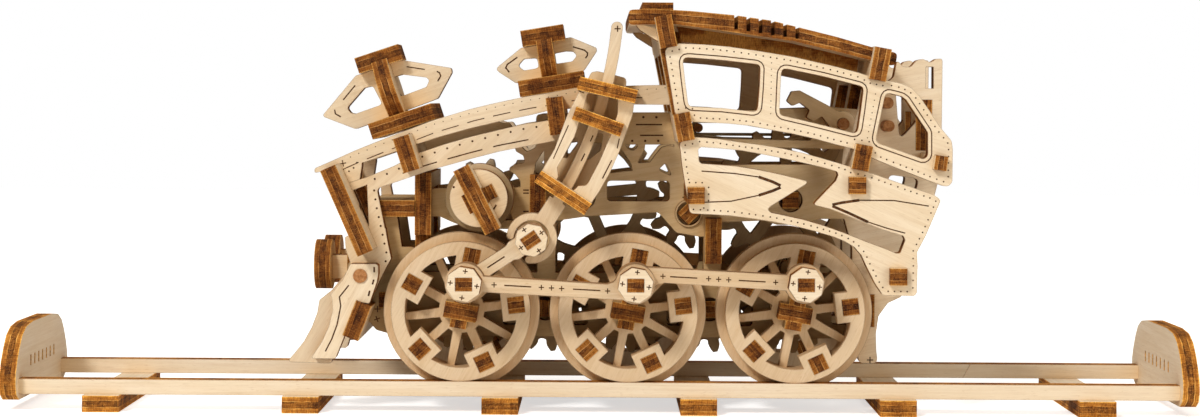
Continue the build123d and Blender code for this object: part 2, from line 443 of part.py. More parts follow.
def shaft_gear(n, c, phase, layer, cut, ends=(-CH1, CH1), turn=0.0):
    hole = square(c[0], c[1], SHAFT + 0.02, SHAFT + 0.02, turn)
    body = gear(n, c[0], c[1], phase, layer[0], layer[1], [hole] + list(cut))
    return body, plate(square(c[0], c[1], SHAFT, SHAFT, turn), ends[0], ends[1])


save("idler_gear_1", shaft_gear(12, ID[0], p_i1, L1, ()))
save("idler_gear_2", shaft_gear(12, ID[1], p_i2, L1, ()))
save("drive_gear_rear", shaft_gear(20, gC, p_C, L2, windows(gC[0], gC[1], 5, 6.0, 12.6, (2.8, 2.8), 0.3)))
save("drive_gear_middle", shaft_gear(10, gB, p_B, L2, (), (-13.9, 13.9), 45.0))
save("drive_gear_front", shaft_gear(21, gA, p_A, L2, windows(gA[0], gA[1], 5, 6.0, 13.4, (2.8, 2.8), 0.1), (-13.9, 13.9)))
# winding key: pinion and shaft, two discs and a grip plate
k_hole = square(gK[0], gK[1], 4.02, 4.02, 27)
k_gear = gear(9, gK[0], gK[1], p_K, L2[0], L2[1], [k_hole])
k_shaft = plate(square(gK[0], gK[1], 4.0, 4.0, 27), -32.0, CH1)
K_U = (math.cos(math.radians(27)), math.sin(math.radians(27)))


def on_key(u, v):
    return (gK[0] + u * K_U[0] - v * K_U[1], gK[1] + u * K_U[1] + v * K_U[0])


k_strip = joined(plate([on_key(-3.0, -1.7), on_key(4.4, -1.7), on_key(4.4, 1.7), on_key(-3.0, 1.7)], -25.5, -20.6),
                 plate([on_key(-3.0, -2.4), on_key(-2.0, -2.4), on_key(-2.0, 2.4), on_key(-3.0, 2.4)], -32.0, -25.0))
k_disc_1 = disc(gK[0], gK[1], 8.3, -20.5, -16.5).cut(plate(k_hole, -40, 0))
k_disc_2 = minus(disc(gK[0], gK[1], 7.0, -24.5, -20.5), plate(k_hole, -40, 0), k_strip)
k_grip = minus(plate(square(gK[0], gK[1], 4.0, 17.0, 27), -33.0, -24.5), plate(square(gK[0], gK[1], 4.02, 4.02, 27), -32.02, 0))
save("key_pinion", k_gear, k_shaft)
k_strip = minus(k_strip, plate(k_hole, -40, 0), k_grip)
save("winding_key", k_disc_1, k_disc_2, k_grip, k_strip)

# ---------------------------------------------------------------- rods
P = [(c[0] + PIN_X, c[1] + PIN_Z) for c in W]
DROP = 1.95


def coupling(p, q, turned, d0, d1):
    """A coupling rod: its bar leaves one eye on centre and meets the other eye low, or high when turned."""
    k = 1 if not turned else -1
    a, b = (p, q) if not turned else (q, p)
    length = math.hypot(q[0] - p[0], q[1] - p[1])
    h = ROD_W / 2
    bar = [(0, h), (0, -h), (length, -DROP - h - 0.3), (length - 2, -DROP - h), (length - 2, h - DROP), ]
    bar = [(0, -h), (length - 1.0, -DROP - h), (length + 1.5, -DROP - h + 0.2), (length + 1.5, 1.5), (length - 3.4, 2.6), (length - 5.2, h - DROP + 0.5), (length - 6.8, h - DROP), (0, h)]
    pts = [(a[0] + k * u, a[1] + k * w) for u, w in bar]
    body = joined(near(pts, d0, d1), disc(p[0], p[1], 4.75, -d1, -d0), disc(q[0], q[1], 4.75, -d1, -d0))
    holes = [disc(p[0], p[1], 2.62, -d1 - 1, -d0 + 1), disc(q[0], q[1], 2.62, -d1 - 1, -d0 + 1)]
    return minus(body, holes)


save("coupling_rod_front_near", coupling(P[0], P[1], False, RODA0 + 0.05, RODA1))
save("coupling_rod_front_far", far(coupling(P[0], P[1], False, RODA0 + 0.05, RODA1)))
save("coupling_rod_rear_near", coupling(P[1], P[2], True, LINK0, LINK1))
save("coupling_rod_rear_far", far(coupling(P[1], P[2], True, LINK0, LINK1)))

lx, lz = CROSSHEAD[0] - P[0][0], CROSSHEAD[1] - P[0][1]
ll = math.hypot(lx, lz)
lc, ls = lx / ll, lz / ll


def on_link(u, w):
    return (P[0][0] + u * lc - w * ls, P[0][1] + u * ls + w * lc)


link_bar = near([on_link(0, -1.9), on_link(12.6, -1.9), on_link(13.6, -2.4), on_link(17.5, -2.4), on_link(17.5, 2.4), on_link(13.6, 2.4), on_link(12.6, 1.9), on_link(0, 1.9)], LINK0, LINK1)
link_body = minus(joined(link_bar, disc(P[0][0], P[0][1], 4.6, -LINK1, -LINK0), disc(CROSSHEAD[0], CROSSHEAD[1], 3.9, -LINK1, -LINK0)),
                  disc(P[0][0], P[0][1], 2.62, -LINK1 - 1, -LINK0 + 1),
                  plate(square(CROSSHEAD[0], CROSSHEAD[1], 4.0, 3.2, 35), -LINK1 - 1, -LINK0 + 1))
link_washer = near(circle(CROSSHEAD[0] + 0.15, CROSSHEAD[1], 4.0, 8, math.radians(12)), LINK1, LINK1 + PLY, [square(CROSSHEAD[0], CROSSHEAD[1], 4.0, 3.2, 35)])
link_pin = plate(square(CROSSHEAD[0], CROSSHEAD[1], 4.0, 3.2, 35), -LINK1 - PLY + 0.2, -LINK0 - 0.2)
save("link_near", link_body, link_washer, link_pin)
save("link_far", far(link_body, link_washer, link_pin))

# piston rod: a blade on the cylinder's arc, ending in an open hook
mx, mz = (CROSSHEAD[0] + ROD_TOP[0]) / 2, (CROSSHEAD[1] + ROD_TOP[1]) / 2
chx, chz = ROD_TOP[0] - CROSSHEAD[0], ROD_TOP[1] - CROSSHEAD[1]
chl = math.hypot(chx, chz)
back = math.sqrt(ARC_R ** 2 - (chl / 2) ** 2)
OC = (mx - chz / chl * back, mz + chx / chl * back)
a_cross = math.atan2(CROSSHEAD[1] - OC[1], CROSSHEAD[0] - OC[0])
a_top = math.atan2(ROD_TOP[1] - OC[1], ROD_TOP[0] - OC[0])


def arc_pts(r, a0, a1, n=18):
    return [(OC[0] + r * math.cos(a0 + (a1 - a0) * i / n), OC[1] + r * math.sin(a0 + (a1 - a0) * i / n)) for i in range(n + 1)]


def sector(r0, r1, a0, a1, n=18):
    return arc_pts(r0, a0, a1, n) + list(reversed(arc_pts(r1, a0, a1, n)))


a_neck = a_cross + 5.4 / ARC_R
def arc_strip(half, a0, a1, d0, d1):
    """A strip between two true arcs about the rod's centre of swing."""
    ring = disc(OC[0], OC[1], ARC_R + half, -d1, -d0).cut(disc(OC[0], OC[1], ARC_R - half, -d1 - 1, -d0 + 1))
    far_r = ARC_R * 1.2
    wedge = [OC] + [(OC[0] + far_r * math.cos(a0 + (a1 - a0) * i / 4), OC[1] + far_r * math.sin(a0 + (a1 - a0) * i / 4)) for i in range(5)]
    return flat(ring.intersect(near(wedge, d0, d1)))


blade = arc_strip(1.4, a_neck, a_top + 0.0012, HOOK0, HOOK1)
tip = disc(OC[0] + ARC_R * math.cos(a_top + 0.0012), OC[1] + ARC_R * math.sin(a_top + 0.0012), 1.4, -HOOK1, -HOOK0)
neck = near(sector(ARC_R - 2.3, ARC_R + 2.3, a_cross + 5.0 / ARC_R, a_cross + 11.0 / ARC_R, 6), HOOK0, HOOK1)
hook = disc(CROSSHEAD[0], CROSSHEAD[1], 6.1, -HOOK1, -HOOK0).cut(disc(CROSSHEAD[0], CROSSHEAD[1], 4.3, -HOOK1 - 1, -HOOK0 + 1))
mouth = math.radians(218)
mouth_tool = near([CROSSHEAD, (CROSSHEAD[0] + 12 * math.cos(mouth - 0.75), CROSSHEAD[1] + 12 * math.sin(mouth - 0.75)),
                   (CROSSHEAD[0] + 14 * math.cos(mouth), CROSSHEAD[1] + 14 * math.sin(mouth)),
                   (CROSSHEAD[0] + 12 * math.cos(mouth + 0.75), CROSSHEAD[1] + 12 * math.sin(mouth + 0.75))], HOOK0 - 1, HOOK1 + 1)
lips = [disc(CROSSHEAD[0] + 5.2 * math.cos(mouth + s * 0.78), CROSSHEAD[1] + 5.2 * math.sin(mouth + s * 0.78), 0.92, -HOOK1, -HOOK0) for s in (-1, 1)]
piston_rod = joined(blade, tip, neck, flat(hook.cut(mouth_tool)), lips)
save("piston_rod_near", piston_rod)
save("piston_rod_far", far(piston_rod))

# ---------------------------------------------------------------- cylinders
CYL0, CYL1 = math.radians(-31.6), math.radians(-11.8)
cyl_back = near(soft(CYL_BACK, 1.0), 19.5, 23.5, [soft(CYL_BACK_WIN_A, 0.4), soft(CYL_BACK_WIN_B, 0.4)])
cyl_front = near(soft(CYL_FRONT, 0.4), 27.5, 31.5, [soft(CYL_FRONT_WIN, 0.6)])
clamps = []
for (cx, cz), deg, length in zip(CLAMPS, (-13.1, -19.7, -33.1), (14.1, 12.1, 14.2)):
    clamps.append(plate(square(cx, cz, length, 3.2, deg), -TAB + 4, -19.6))
channel = near(sector(ARC_R - 2.6, ARC_R + 2.6, math.radians(-34), math.radians(-8)), 23.5, 27.5)
cyl_clamps = minus(clamps, cyl_back, cyl_front, channel)
save("cylinder_near", cyl_back, cyl_front, cyl_clamps)
save("cylinder_far", far(cyl_back, cyl_front, cyl_clamps))

# ---------------------------------------------------------------- cross plates
former_1 = cross(-46.6, 62.8, 108.3, [(-4.3, -30), (4.3, -30), (4.3, 30), (-4.3, 30), (-4.3, 10), (-1.5, 7), (-1.5, -7), (-4.3, -10)])
former_2 = cross(-10.75, 72.0, 97.4, [(-4.4, -30), (4.6, -30), (4.6, 30), (-4.4, 30), (-4.4, 9), (-0.4, 7.5), (-0.4, -7.5), (-4.4, -9)])
bulkhead = cross(-43.5, 0.0, 90.0, [(37.2, -15), (42.6, -15), (42.6, -17), (57.9, -17), (57.9, 17), (42.6, 17), (42.6, 15), (37.2, 15)], holes=[[(42, -8), (54, -8), (54, 8), (42, 8)]])
shelf = cross(0.0, 49.1, 0.0, [(-56.4, -17.5), (-45.52, -17.5), (-45.52, 17.5), (-56.4, 17.5)])
nose = cross(-60.8, 49.1, -65.9, [(-11.2, -30), (11.2, -30), (11.2, 30), (-11.2, 30)], holes=[[(-7.5, -12.5), (7.5, -12.5), (7.5, 12.5), (-7.5, 12.5)]])
cow_bar = cross(-58.7, 22.2, 69.0, [(-4.5, -24.6), (4.5, -24.6), (4.5, 24.6), (-4.5, 24.6)])

# ---------------------------------------------------------------- chassis sides
beam_low = near(soft([(-62.2, 29.0), (-60.5, 25.5), (-55.0, 19.0), (-50.0, 17.6), (68.0, 17.6), (68.0, 33.4), (-44.5, 33.4), (-45.5, 39.5), (-52.5, 39.6), (-60.5, 37.4), (-62.2, 35.0)], 1.2), CH0, CH1,
                [soft(rect(-24.0, -18.8, 20.5, 28.8), 1.0), soft(rect(-8.2, -3.0, 20.5, 28.8), 1.0), soft(rect(16.5, 21.6, 20.5, 28.8), 1.0), soft(rect(32.5, 37.6, 20.5, 28.8), 1.0), soft(rect(57.0, 62.0, 21.0, 29.0), 1.0)])
gear_beam = near(soft(BEAM_BOT + [(29.5, 46.0), (40.0, 46.5), (43.5, 45.5), (50.0, 45.5), (54.0, 47.0), (68.0, 47.0), (68.0, 60.5), (24.0, 60.2)] + BEAM_TOP, 1.2), CH0, CH1,
                 [soft(rect(1.6, 17.0, 51.1, 56.1), 1.0), BEAM_TRI, soft(POST_TRI, 0.4), soft([(27.5, 50.0), (40.5, 50.0), (40.5, 57.2), (27.5, 57.2)], 1.0)])
beam_high = near(soft([(-16.0, 66.0), (6.0, 65.0), (18.2, 65.1), (66.0, 64.0), (66.0, 73.8), (57.0, 74.6), (18.1, 72.9), (6.0, 72.8), (-16.0, 72.4)], 1.2), CH0, CH1,
                 [soft([(22.0, 66.8), (52.0, 66.3), (52.0, 71.0), (22.0, 71.0)], 1.0)])
posts = [near(soft(POST_F, 0.8), CH0, CH1), near(soft(BRANCH_L, 0.7), CH0, CH1), near(soft(BRANCH_R, 0.7), CH0, CH1), near(soft(TOP_RAIL, 0.8), CH0, CH1), near(rect(-15.5, -11.0, 32.0, 48.0), CH0, CH1), near(rect(25.4, 29.8, 32.0, 48.0), CH0, CH1),
         near(rect(-14.0, -8.5, 58.0, 68.0), CH0, CH1), near(rect(18.0, 23.0, 58.0, 66.5), CH0, CH1), near(rect(60.0, 65.0, 58.0, 66.5), CH0, CH1)]
rear = near(soft([(72.8, 86.3), (74.3, 84.6), (76.2, 84.6), (77.6, 86.2), (79.2, 86.6), (80.9, 85.6), (82.4, 86.6), (84.0, 86.7), (83.9, 69.6), (83.0, 56.0), (80.5, 46.0), (76.5, 38.0), (75.0, 30.0), (74.1, 27.9),
                   (70.9, 26.4), (68.6, 23.2), (68.0, 18.8), (68.1, 14.8), (68.5, 11.5), (64.0, 11.5), (62.5, 18.0), (62.0, 30.0), (62.0, 40.0), (60.0, 47.2), (60.0, 60.2), (62.0, 64.5), (64.0, 73.6), (68.0, 79.0), (72.0, 82.0)], 1.2), CH0, CH1,
            [soft([(70.0, 50.0), (76.5, 50.0), (78.4, 57.0), (71.0, 58.0)], 1.2), rect(79.9, 81.8, 79.3, 84.6), soft([(72.5, 78.5), (77.5, 78.0), (77.5, 71.0), (73.5, 66.5)], 1.0)])
bar_front = cross(0.0, 26.4, 0.0, [(-54.4, -CH1), (-47.4, -CH1), (-47.4, CH1), (-54.4, CH1)])
bar_rear = cross(65.6, 0.0, 90.0, [(20.5, -CH1), (28.5, -CH1), (28.5, CH1), (20.5, CH1)])
bar_top = cross(79.5, 0.0, 90.0, [(64.0, -CH1), (76.5, -CH1), (76.5, CH1), (64.0, CH1)], holes=[[(67.0, -5.5), (73.5, -5.5), (73.5, 5.5), (67.0, 5.5)]])
crossbars = [bar_front, bar_rear, bar_top]
pins_cab = [plate(square(60.5, 56.2, 4, 4), -TAB, -CH0), plate(square(70.3, 39.4 - 4.65, 4, 4), -TAB, -CH0), plate(square(22.5, 53.6, 4, 4), -TAB, -CH0), plate(square(80.05, 61.6, 3, 3.4, -8), -TAB, -CH0)]
spacers = [plate(rect(25.6, 29.6, 36.2, 47.2), -19.5, -CH1), plate(rect(-17.3, -13.4, 48.4, 57.6), -19.4, -CH1)]
DOWEL = [(59.16, 70.46), (70.16, 70.04), (69.89, 75.66)]
dowels = [disc(x, z, 1.4, -20.0, -CH0) for x, z in DOWEL] + [disc(-58.1, 33.0, 1.65, -23.9, -CH0)]
holes = [disc(c[0], c[1], AXLE_HOLE, -16, -8) for c in W] + [disc(c[0], c[1], SHAFT_HOLE, -16, -8) for c in (ID[0], ID[1], gC, gA, gK)] + [disc(gB[0], gB[1], 3.38, -16, -8)]
chassis = joined(beam_low, gear_beam, beam_high, posts, rear)
stems = [Solid.make_box(66.3 - 60.2, 4, 5.9, Plane(origin=(-66.3, -11.5, 31.4))).fuse(Solid.make_box(4.2, 4, 2.0, Plane(origin=(-70.2, -11.5, 33.9))))]
front_wall = cross(15.15, 92.2, -79.0, [(-3.8, -TAB), (3.8, -TAB), (3.8, -33.5), (19.6, -33.5), (19.6, -TAB), (26.2, -TAB), (26.2, TAB), (19.6, TAB), (19.6, 33.5), (3.8, 33.5), (3.8, TAB), (-3.8, TAB)],
                   holes=[[(5.0, -27), (19.0, -27), (19.0, -3), (5.0, -3)], [(5.0, 3), (19.0, 3), (19.0, 27), (5.0, 27)]])
chassis = minus(chassis, crossbars, bulkhead, shelf, pins_cab, dowels, holes, former_1, former_2, front_wall, cow_bar, stems)
chassis = [max(chassis, key=lambda s: s.volume)]
ELASTIC = [(24.8, 69.0), (58.0, 69.0)]
elastic_pegs = [disc(x, z, 1.2, 6.8, CH1) for x, z in ELASTIC]
hub = minus(disc(gB[0], gB[1], 3.36, -CH1 - 0.6, -CH0), disc(gB[0], gB[1], SHAFT_HOLE, -16, -8))
save("chassis_side_near", chassis)
save("chassis_side_far", minus(far(chassis), elastic_pegs))
save("chassis_crossbars", crossbars, bulkhead, shelf)
save("frame_spacers", both(spacers), both(hub))
save("dowel_pins", both(dowels), elastic_pegs)
save("cab_pegs", both(pins_cab))

# ---------------------------------------------------------------- boiler
cow_pin = dowels[-1]
band_up = near(soft(BAND_UPPER, 0.8), BAND0, BAND1)
band_low = joined(near(soft(BAND_LOWER, 0.8), BAND0, BAND1, [BAND_LOWER_HOLE]), near(soft(LEG, 0.4), BAND0, BAND1))
band_up = minus(joined(band_up, near(soft(UP_LEG, 0.6), BAND0, BAND1)), band_low, near(BAND_LOWER_HOLE, BAND0, BAND1))
nose_tool = cross(-60.8, 49.1, -65.9, band(-11.2, 11.2, 30))
band_up = [max(minus(band_up, former_1, former_2, nose_tool), key=lambda s: s.volume)]
band_low = [max(minus(band_low, former_1, former_2, nose_tool, bulkhead, shelf, cow_pin), key=lambda s: s.volume)]
save("boiler_bands_upper", both(band_up))
save("boiler_bands_lower", both(band_low))
save("boiler_formers", former_1, minus(former_2, both(cyl_back), both(cyl_front), both(cyl_clamps)))
save("nose_plate", minus(nose, shelf))

# cowcatcher and buffers
cow_outer = near(soft(COW_BLADE, 0.5), 19.5, 23.5)
cow_inner = near(soft([(-68.4, 26.8), (-65.3, 29.3), (-61.5, 34.0), (-59.0, 36.6), (-55.2, 36.0), (-55.6, 30.5), (-58.6, 26.4), (-61.0, 21.9), (-63.7, 18.2), (-65.4, 11.3), (-76.3, 11.6), (-74.3, 13.9), (-72.1, 16.7), (-70.2, 20.2), (-68.9, 23.7)], 0.8), 15.5, 19.5)
cow_pin = dowels[-1]
save("cowcatcher", both(minus(cow_outer, cow_bar, cow_pin), [max(minus(cow_inner, cow_bar, cow_pin, band_low), key=lambda s: s.volume)]), cow_bar)
buf_disc = minus(Solid.make_cylinder(6.1, PLY, Plane(origin=(-70.3, -9.5, 34.9), x_dir=(0, 1, 0), z_dir=(1, 0, 0))), stems)
buf_stem = stems
buf_plate = cross(-60.3, 0.0, 90.0, [(31.6, -13.99), (38.2, -13.99), (38.2, 13.99), (31.6, 13.99)])
buf_stem = minus(buf_stem, nose, shelf)
save("buffers", both(buf_disc, buf_stem), minus(buf_plate, both(buf_stem), both(chassis), dowels, far(dowels)))

# ---------------------------------------------------------------- chimneys
hex_1 = plate(soft(HEX_1, 1.0), -2, 2, [soft(HEX_1_WIN_A, 0.8), soft(HEX_1_WIN_B, 0.8)])
hex_2 = plate(soft(HEX_2, 1.0), -2, 2, [soft(HEX_2_WIN_A, 0.9), soft(HEX_2_WIN_B, 0.9)])


def chimney(mid, ang_up, lo, hi, cap_c, cap_len, base_c, base_len, hexp, name, base_half, split, belly):
    span = hi - lo
    bow = [(lo + span * t, 5.6 + belly * math.sin(math.pi * t) + 1.2 * t) for t in (0, 0.12, 0.25, 0.4, 0.55, 0.7, 0.85, 1.0)]
    crossp = cross(mid[0], mid[1], ang_up, [(u, -w) for u, w in bow] + [(u, w) for u, w in reversed(bow)])
    cap = cross(cap_c[0], cap_c[1], ang_up - 90, band(-cap_len / 2, cap_len / 2, 6.0))
    base = cross(base_c[0], base_c[1], ang_up - 90, band(-base_len / 2, base_len / 2, base_half))
    crossp = flat(crossp)
    crossp = minus(crossp, cap, base)
    crossp = [max(crossp, key=lambda s: s.volume)]
    # the two plates are halved into each other
    lower = cross(mid[0], mid[1], ang_up, band(-30, split, 30), t=60)
    hex_low = flat(hexp.intersect(lower))
    crossp = minus(crossp, hex_low)
    crossp = [max(crossp, key=lambda s: s.volume)]
    cap = minus(cap, hexp)
    hex_cut = minus(hexp, crossp, base)
    hex_cut = [max(hex_cut, key=lambda s: s.volume)]
    save(f"{name}_plate", hex_cut)
    save(f"{name}_cross", crossp, cap)
    return base


base_1 = chimney((-53.2, 78.6), 108.6, -8.0, 7.2, (-55.7, 85.9), 11.4, (-48.9, 70.4), 16.2, hex_1, "chimney_front", 16.6, -1.0, 5.0)
base_2 = chimney((-13.5, 85.4), 99.5, -4.0, 5.6, (-14.7, 92.0), 10.8, (-12.15, 79.85), 16.3, hex_2, "chimney_rear", 16.6, 0.0, 2.0)
save("chimney_bases", minus(base_1, both(band_up)), minus(base_2, both(band_up), both(cyl_back), both(cyl_front), both(cyl_clamps)))

# ---------------------------------------------------------------- cab
roof = plate(soft(ROOF, 1.0), -36, 36)
kerfs = []
for i in range(6):
    x = 31.4 + i * 2.9
    z = 95.95 - (x - 31.4) * 0.145
    kerfs.append(Solid.make_box(0.9, 76, 5.0, Plane(origin=(x, -38, z - 3.1))))
roof = minus(roof, kerfs)
roof_cap = Solid.make_box(7.5, 50, 1.95, Plane(origin=(9.8, -25, 97.65)))
roof_cap = minus(roof_cap, roof)
rear_wall = cross(65.65, 84.8, -100.6, [(-3.9, -TAB), (3.8, -TAB), (3.8, -33.5), (19.4, -33.5), (19.4, -TAB), (25.4, -TAB), (25.4, -17), (20.0, -12), (20.0, 12), (25.4, 17), (25.4, TAB), (19.4, TAB), (19.4, 33.5), (3.8, 33.5), (3.8, TAB), (-3.9, TAB)],
                  holes=[[(5.0, -27), (19.2, -27), (19.2, -3), (5.0, -3)], [(5.0, 3), (19.2, 3), (19.2, 27), (5.0, 27)]])
roof_box = plate(ROOF, -36.02, 36.02)
front_wall = [max(minus(front_wall, roof_box), key=lambda s: s.volume)]
rear_wall = [max(minus(rear_wall, roof_box, both(chassis), both(dowels)), key=lambda s: s.volume)]
cab_upper = near(soft(CAB_UPPER, 1.5), CAB0, CAB1, [soft(CAB_WINDOW_1, 1.2), soft(CAB_WINDOW_2, 1.2), soft(CAB_WINDOW_3, 1.2)])
cab_lower = near(soft(CAB_LOWER, 1.0), CAB0, CAB1, [soft(CAB_LOWER_M, 0.5)])
cab_upper = minus(cab_upper, front_wall, rear_wall, pins_cab)
cab_lower = minus(cab_lower, pins_cab, front_wall, rear_wall)
save("cab_side_upper_near", cab_upper)
save("cab_side_upper_far", far(cab_upper))
save("cab_side_lower_near", cab_lower)
save("cab_side_lower_far", far(cab_lower))
# ribs along the underside of the roof
rib = minus(near([(18.0, 95.0), (31.5, 94.0), (45.4, 91.9), (55.7, 89.5), (62.5, 87.8), (62.0, 82.3), (55.0, 84.2), (45.0, 86.6), (31.5, 88.7), (19.5, 90.2)], 18.0, 22.0), roof_box, front_wall, rear_wall)
rib = [max(rib, key=lambda q: q.volume)]
bracket = minus(near(soft(BRACKET, 0.4), 29.0, 33.0), roof, roof_cap, roof_box, front_wall)
bracket = [max(bracket, key=lambda q: q.volume)]
save("cab_front_wall", front_wall, both(bracket))
save("cab_rear_wall", rear_wall)
save("roof", roof, roof_cap, both(rib))

# release lever beside the chassis, on its dowel
lever = joined(disc(59.16, 70.46, 3.2, -18.2, -14.3), near(soft([(58.5, 73.4), (48.5, 78.6), (46.6, 78.4), (45.4, 76.0), (46.8, 74.8), (48.6, 75.6), (51.0, 73.8), (50.2, 72.0), (52.0, 71.0), (54.0, 72.3), (56.8, 68.6), (59.4, 67.4)], 0.5), 14.3, 18.2))
lever = minus(lever, disc(59.16, 70.46, 1.48, -19, -13))
save("release_lever", lever)

# elastic loop along the inside of the far side of the frame, with its two pegs
def racetrack(r):
    (xa, z), (xb, _) = ELASTIC
    left = [(xa + r * math.cos(math.radians(a)), z + r * math.sin(math.radians(a))) for a in range(90, 271, 20)]
    right = [(xb + r * math.cos(math.radians(a)), z + r * math.sin(math.radians(a))) for a in range(-90, 91, 20)]
    return left + right


elastic = plate(racetrack(2.0), 7.6, 9.2, [racetrack(1.25)])
save("elastic_loop", elastic)

print(len(saved), "nodes")
for n, k in saved:
    print(n, k)
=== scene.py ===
import math
import bpy
import numpy as np
from mathutils import Matrix, Vector


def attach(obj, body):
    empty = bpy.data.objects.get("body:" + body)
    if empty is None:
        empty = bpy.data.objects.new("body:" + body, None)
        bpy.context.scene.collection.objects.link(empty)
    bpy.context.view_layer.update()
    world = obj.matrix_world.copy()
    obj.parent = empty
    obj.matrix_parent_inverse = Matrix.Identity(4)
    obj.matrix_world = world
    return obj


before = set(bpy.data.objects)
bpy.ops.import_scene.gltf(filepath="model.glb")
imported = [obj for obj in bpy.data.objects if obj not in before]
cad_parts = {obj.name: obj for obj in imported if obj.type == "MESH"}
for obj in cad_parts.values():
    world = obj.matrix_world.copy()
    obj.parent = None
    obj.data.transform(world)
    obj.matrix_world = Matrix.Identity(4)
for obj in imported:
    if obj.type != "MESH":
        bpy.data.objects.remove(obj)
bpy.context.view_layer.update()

MM = 0.001

# ------------------------------------------------------------------ camera
cam_data = bpy.data.cameras.new("camera")
cam_data.lens = 69.39
cam_data.sensor_width = 36.0
cam_data.shift_x = -0.00098
cam_data.shift_y = -0.09125
cam_data.clip_start = 0.01
cam_data.clip_end = 20.0
cam = bpy.data.objects.new("camera", cam_data)
bpy.context.scene.collection.objects.link(cam)
cam.matrix_world = Matrix.Translation((0.0, -0.5835, 0.0762)) @ Matrix.Rotation(math.pi / 2, 4, "X") @ Matrix.Rotation(0.00621, 4, "Z")
bpy.context.scene.camera = cam
bpy.context.scene.view_settings.view_transform = "Standard"
bpy.context.scene.view_settings.look = "None"
bpy.context.scene.view_settings.exposure = 0.0
bpy.context.scene.view_settings.gamma = 1.0


# ------------------------------------------------------------------ node helpers
class Net:
    def __init__(self, name):
        self.mat = bpy.data.materials.new(name)
        self.mat.use_nodes = True
        self.nt = self.mat.node_tree
        self.nt.nodes.clear()
        self.out = self.nt.nodes.new("ShaderNodeOutputMaterial")
        self.bsdf = self.nt.nodes.new("ShaderNodeBsdfPrincipled")
        self.link(self.bsdf.outputs[0], self.out.inputs[0])

    def link(self, a, b):
        self.nt.links.new(a, b)

    def put(self, sock, v):
        if hasattr(v, "is_output") or isinstance(v, bpy.types.NodeSocket):
            self.link(v, sock)
        else:
            sock.default_value = v

    def attr(self, name, out="Vector"):
        n = self.nt.nodes.new("ShaderNodeAttribute")
        n.attribute_name = name
        return n.outputs[out]

    def math(self, op, a, b=0.0, c=0.0, clamp=False):
        n = self.nt.nodes.new("ShaderNodeMath")
        n.operation = op
        n.use_clamp = clamp
        self.put(n.inputs[0], a)
        self.put(n.inputs[1], b)
        if len(n.inputs) > 2:
            self.put(n.inputs[2], c)
        return n.outputs[0]

    def vmul(self, v, s):
        n = self.nt.nodes.new("ShaderNodeVectorMath")
        n.operation = "MULTIPLY"
        self.put(n.inputs[0], v)
        self.put(n.inputs[1], s)
        return n.outputs[0]

    def vadd(self, v, s):
        n = self.nt.nodes.new("ShaderNodeVectorMath")
        n.operation = "ADD"
        self.put(n.inputs[0], v)
        self.put(n.inputs[1], s)
        return n.outputs[0]

    def split(self, v):
        n = self.nt.nodes.new("ShaderNodeSeparateXYZ")
        self.put(n.inputs[0], v)
        return n.outputs

    def join(self, x, y, z):
        n = self.nt.nodes.new("ShaderNodeCombineXYZ")
        for i, v in enumerate((x, y, z)):
            self.put(n.inputs[i], v)
        return n.outputs[0]

    def noise(self, vec, scale=1.0, detail=3.0, rough=0.5, distort=0.0):
        n = self.nt.nodes.new("ShaderNodeTexNoise")
        self.put(n.inputs["Vector"], vec)
        n.inputs["Scale"].default_value = scale
        n.inputs["Detail"].default_value = detail
        n.inputs["Roughness"].default_value = rough
        n.inputs["Distortion"].default_value = distort
        return n.outputs["Fac"]

    def ramp(self, fac, stops, mode="LINEAR"):
        n = self.nt.nodes.new("ShaderNodeValToRGB")
        n.color_ramp.interpolation = mode
        el = n.color_ramp.elements
        while len(el) < len(stops):
            el.new(0.5)
        for e, (p, c) in zip(el, stops):
            e.position = p
            e.color = (*c, 1.0) if len(c) == 3 else c
        self.put(n.inputs[0], fac)
        return n.outputs[0]

    def mix(self, fac, a, b, mode="MIX"):
        n = self.nt.nodes.new("ShaderNodeMix")
        n.data_type = "RGBA"
        n.blend_type = mode
        n.clamp_factor = True
        self.put(n.inputs["Factor"], fac)
        for key, v in (("A", a), ("B", b)):
            sock = [s for s in n.inputs if s.name == key and s.type == "RGBA"][0]
            if isinstance(v, (tuple, list)):
                sock.default_value = (*v, 1.0) if len(v) == 3 else v
            else:
                self.link(v, sock)
        return [s for s in n.outputs if s.type == "RGBA"][0]

    def maprange(self, v, a, b, c=0.0, d=1.0, smooth=False):
        n = self.nt.nodes.new("ShaderNodeMapRange")
        n.interpolation_type = "SMOOTHSTEP" if smooth else "LINEAR"
        n.clamp = True
        self.put(n.inputs[0], v)
        for i, x in enumerate((a, b, c, d)):
            n.inputs[1 + i].default_value = x
        return n.outputs[0]

    def bump(self, height, strength, distance):
        n = self.nt.nodes.new("ShaderNodeBump")
        n.inputs["Strength"].default_value = strength
        n.inputs["Distance"].default_value = distance
        self.put(n.inputs["Height"], height)
        self.link(n.outputs[0], self.bsdf.inputs["Normal"])

    def finish(self, color, rough, spec=0.3):
        self.put(self.bsdf.inputs["Base Color"], color)
        self.put(self.bsdf.inputs["Roughness"], rough)
        self.bsdf.inputs["Specular IOR Level"].default_value = spec
        return self.mat


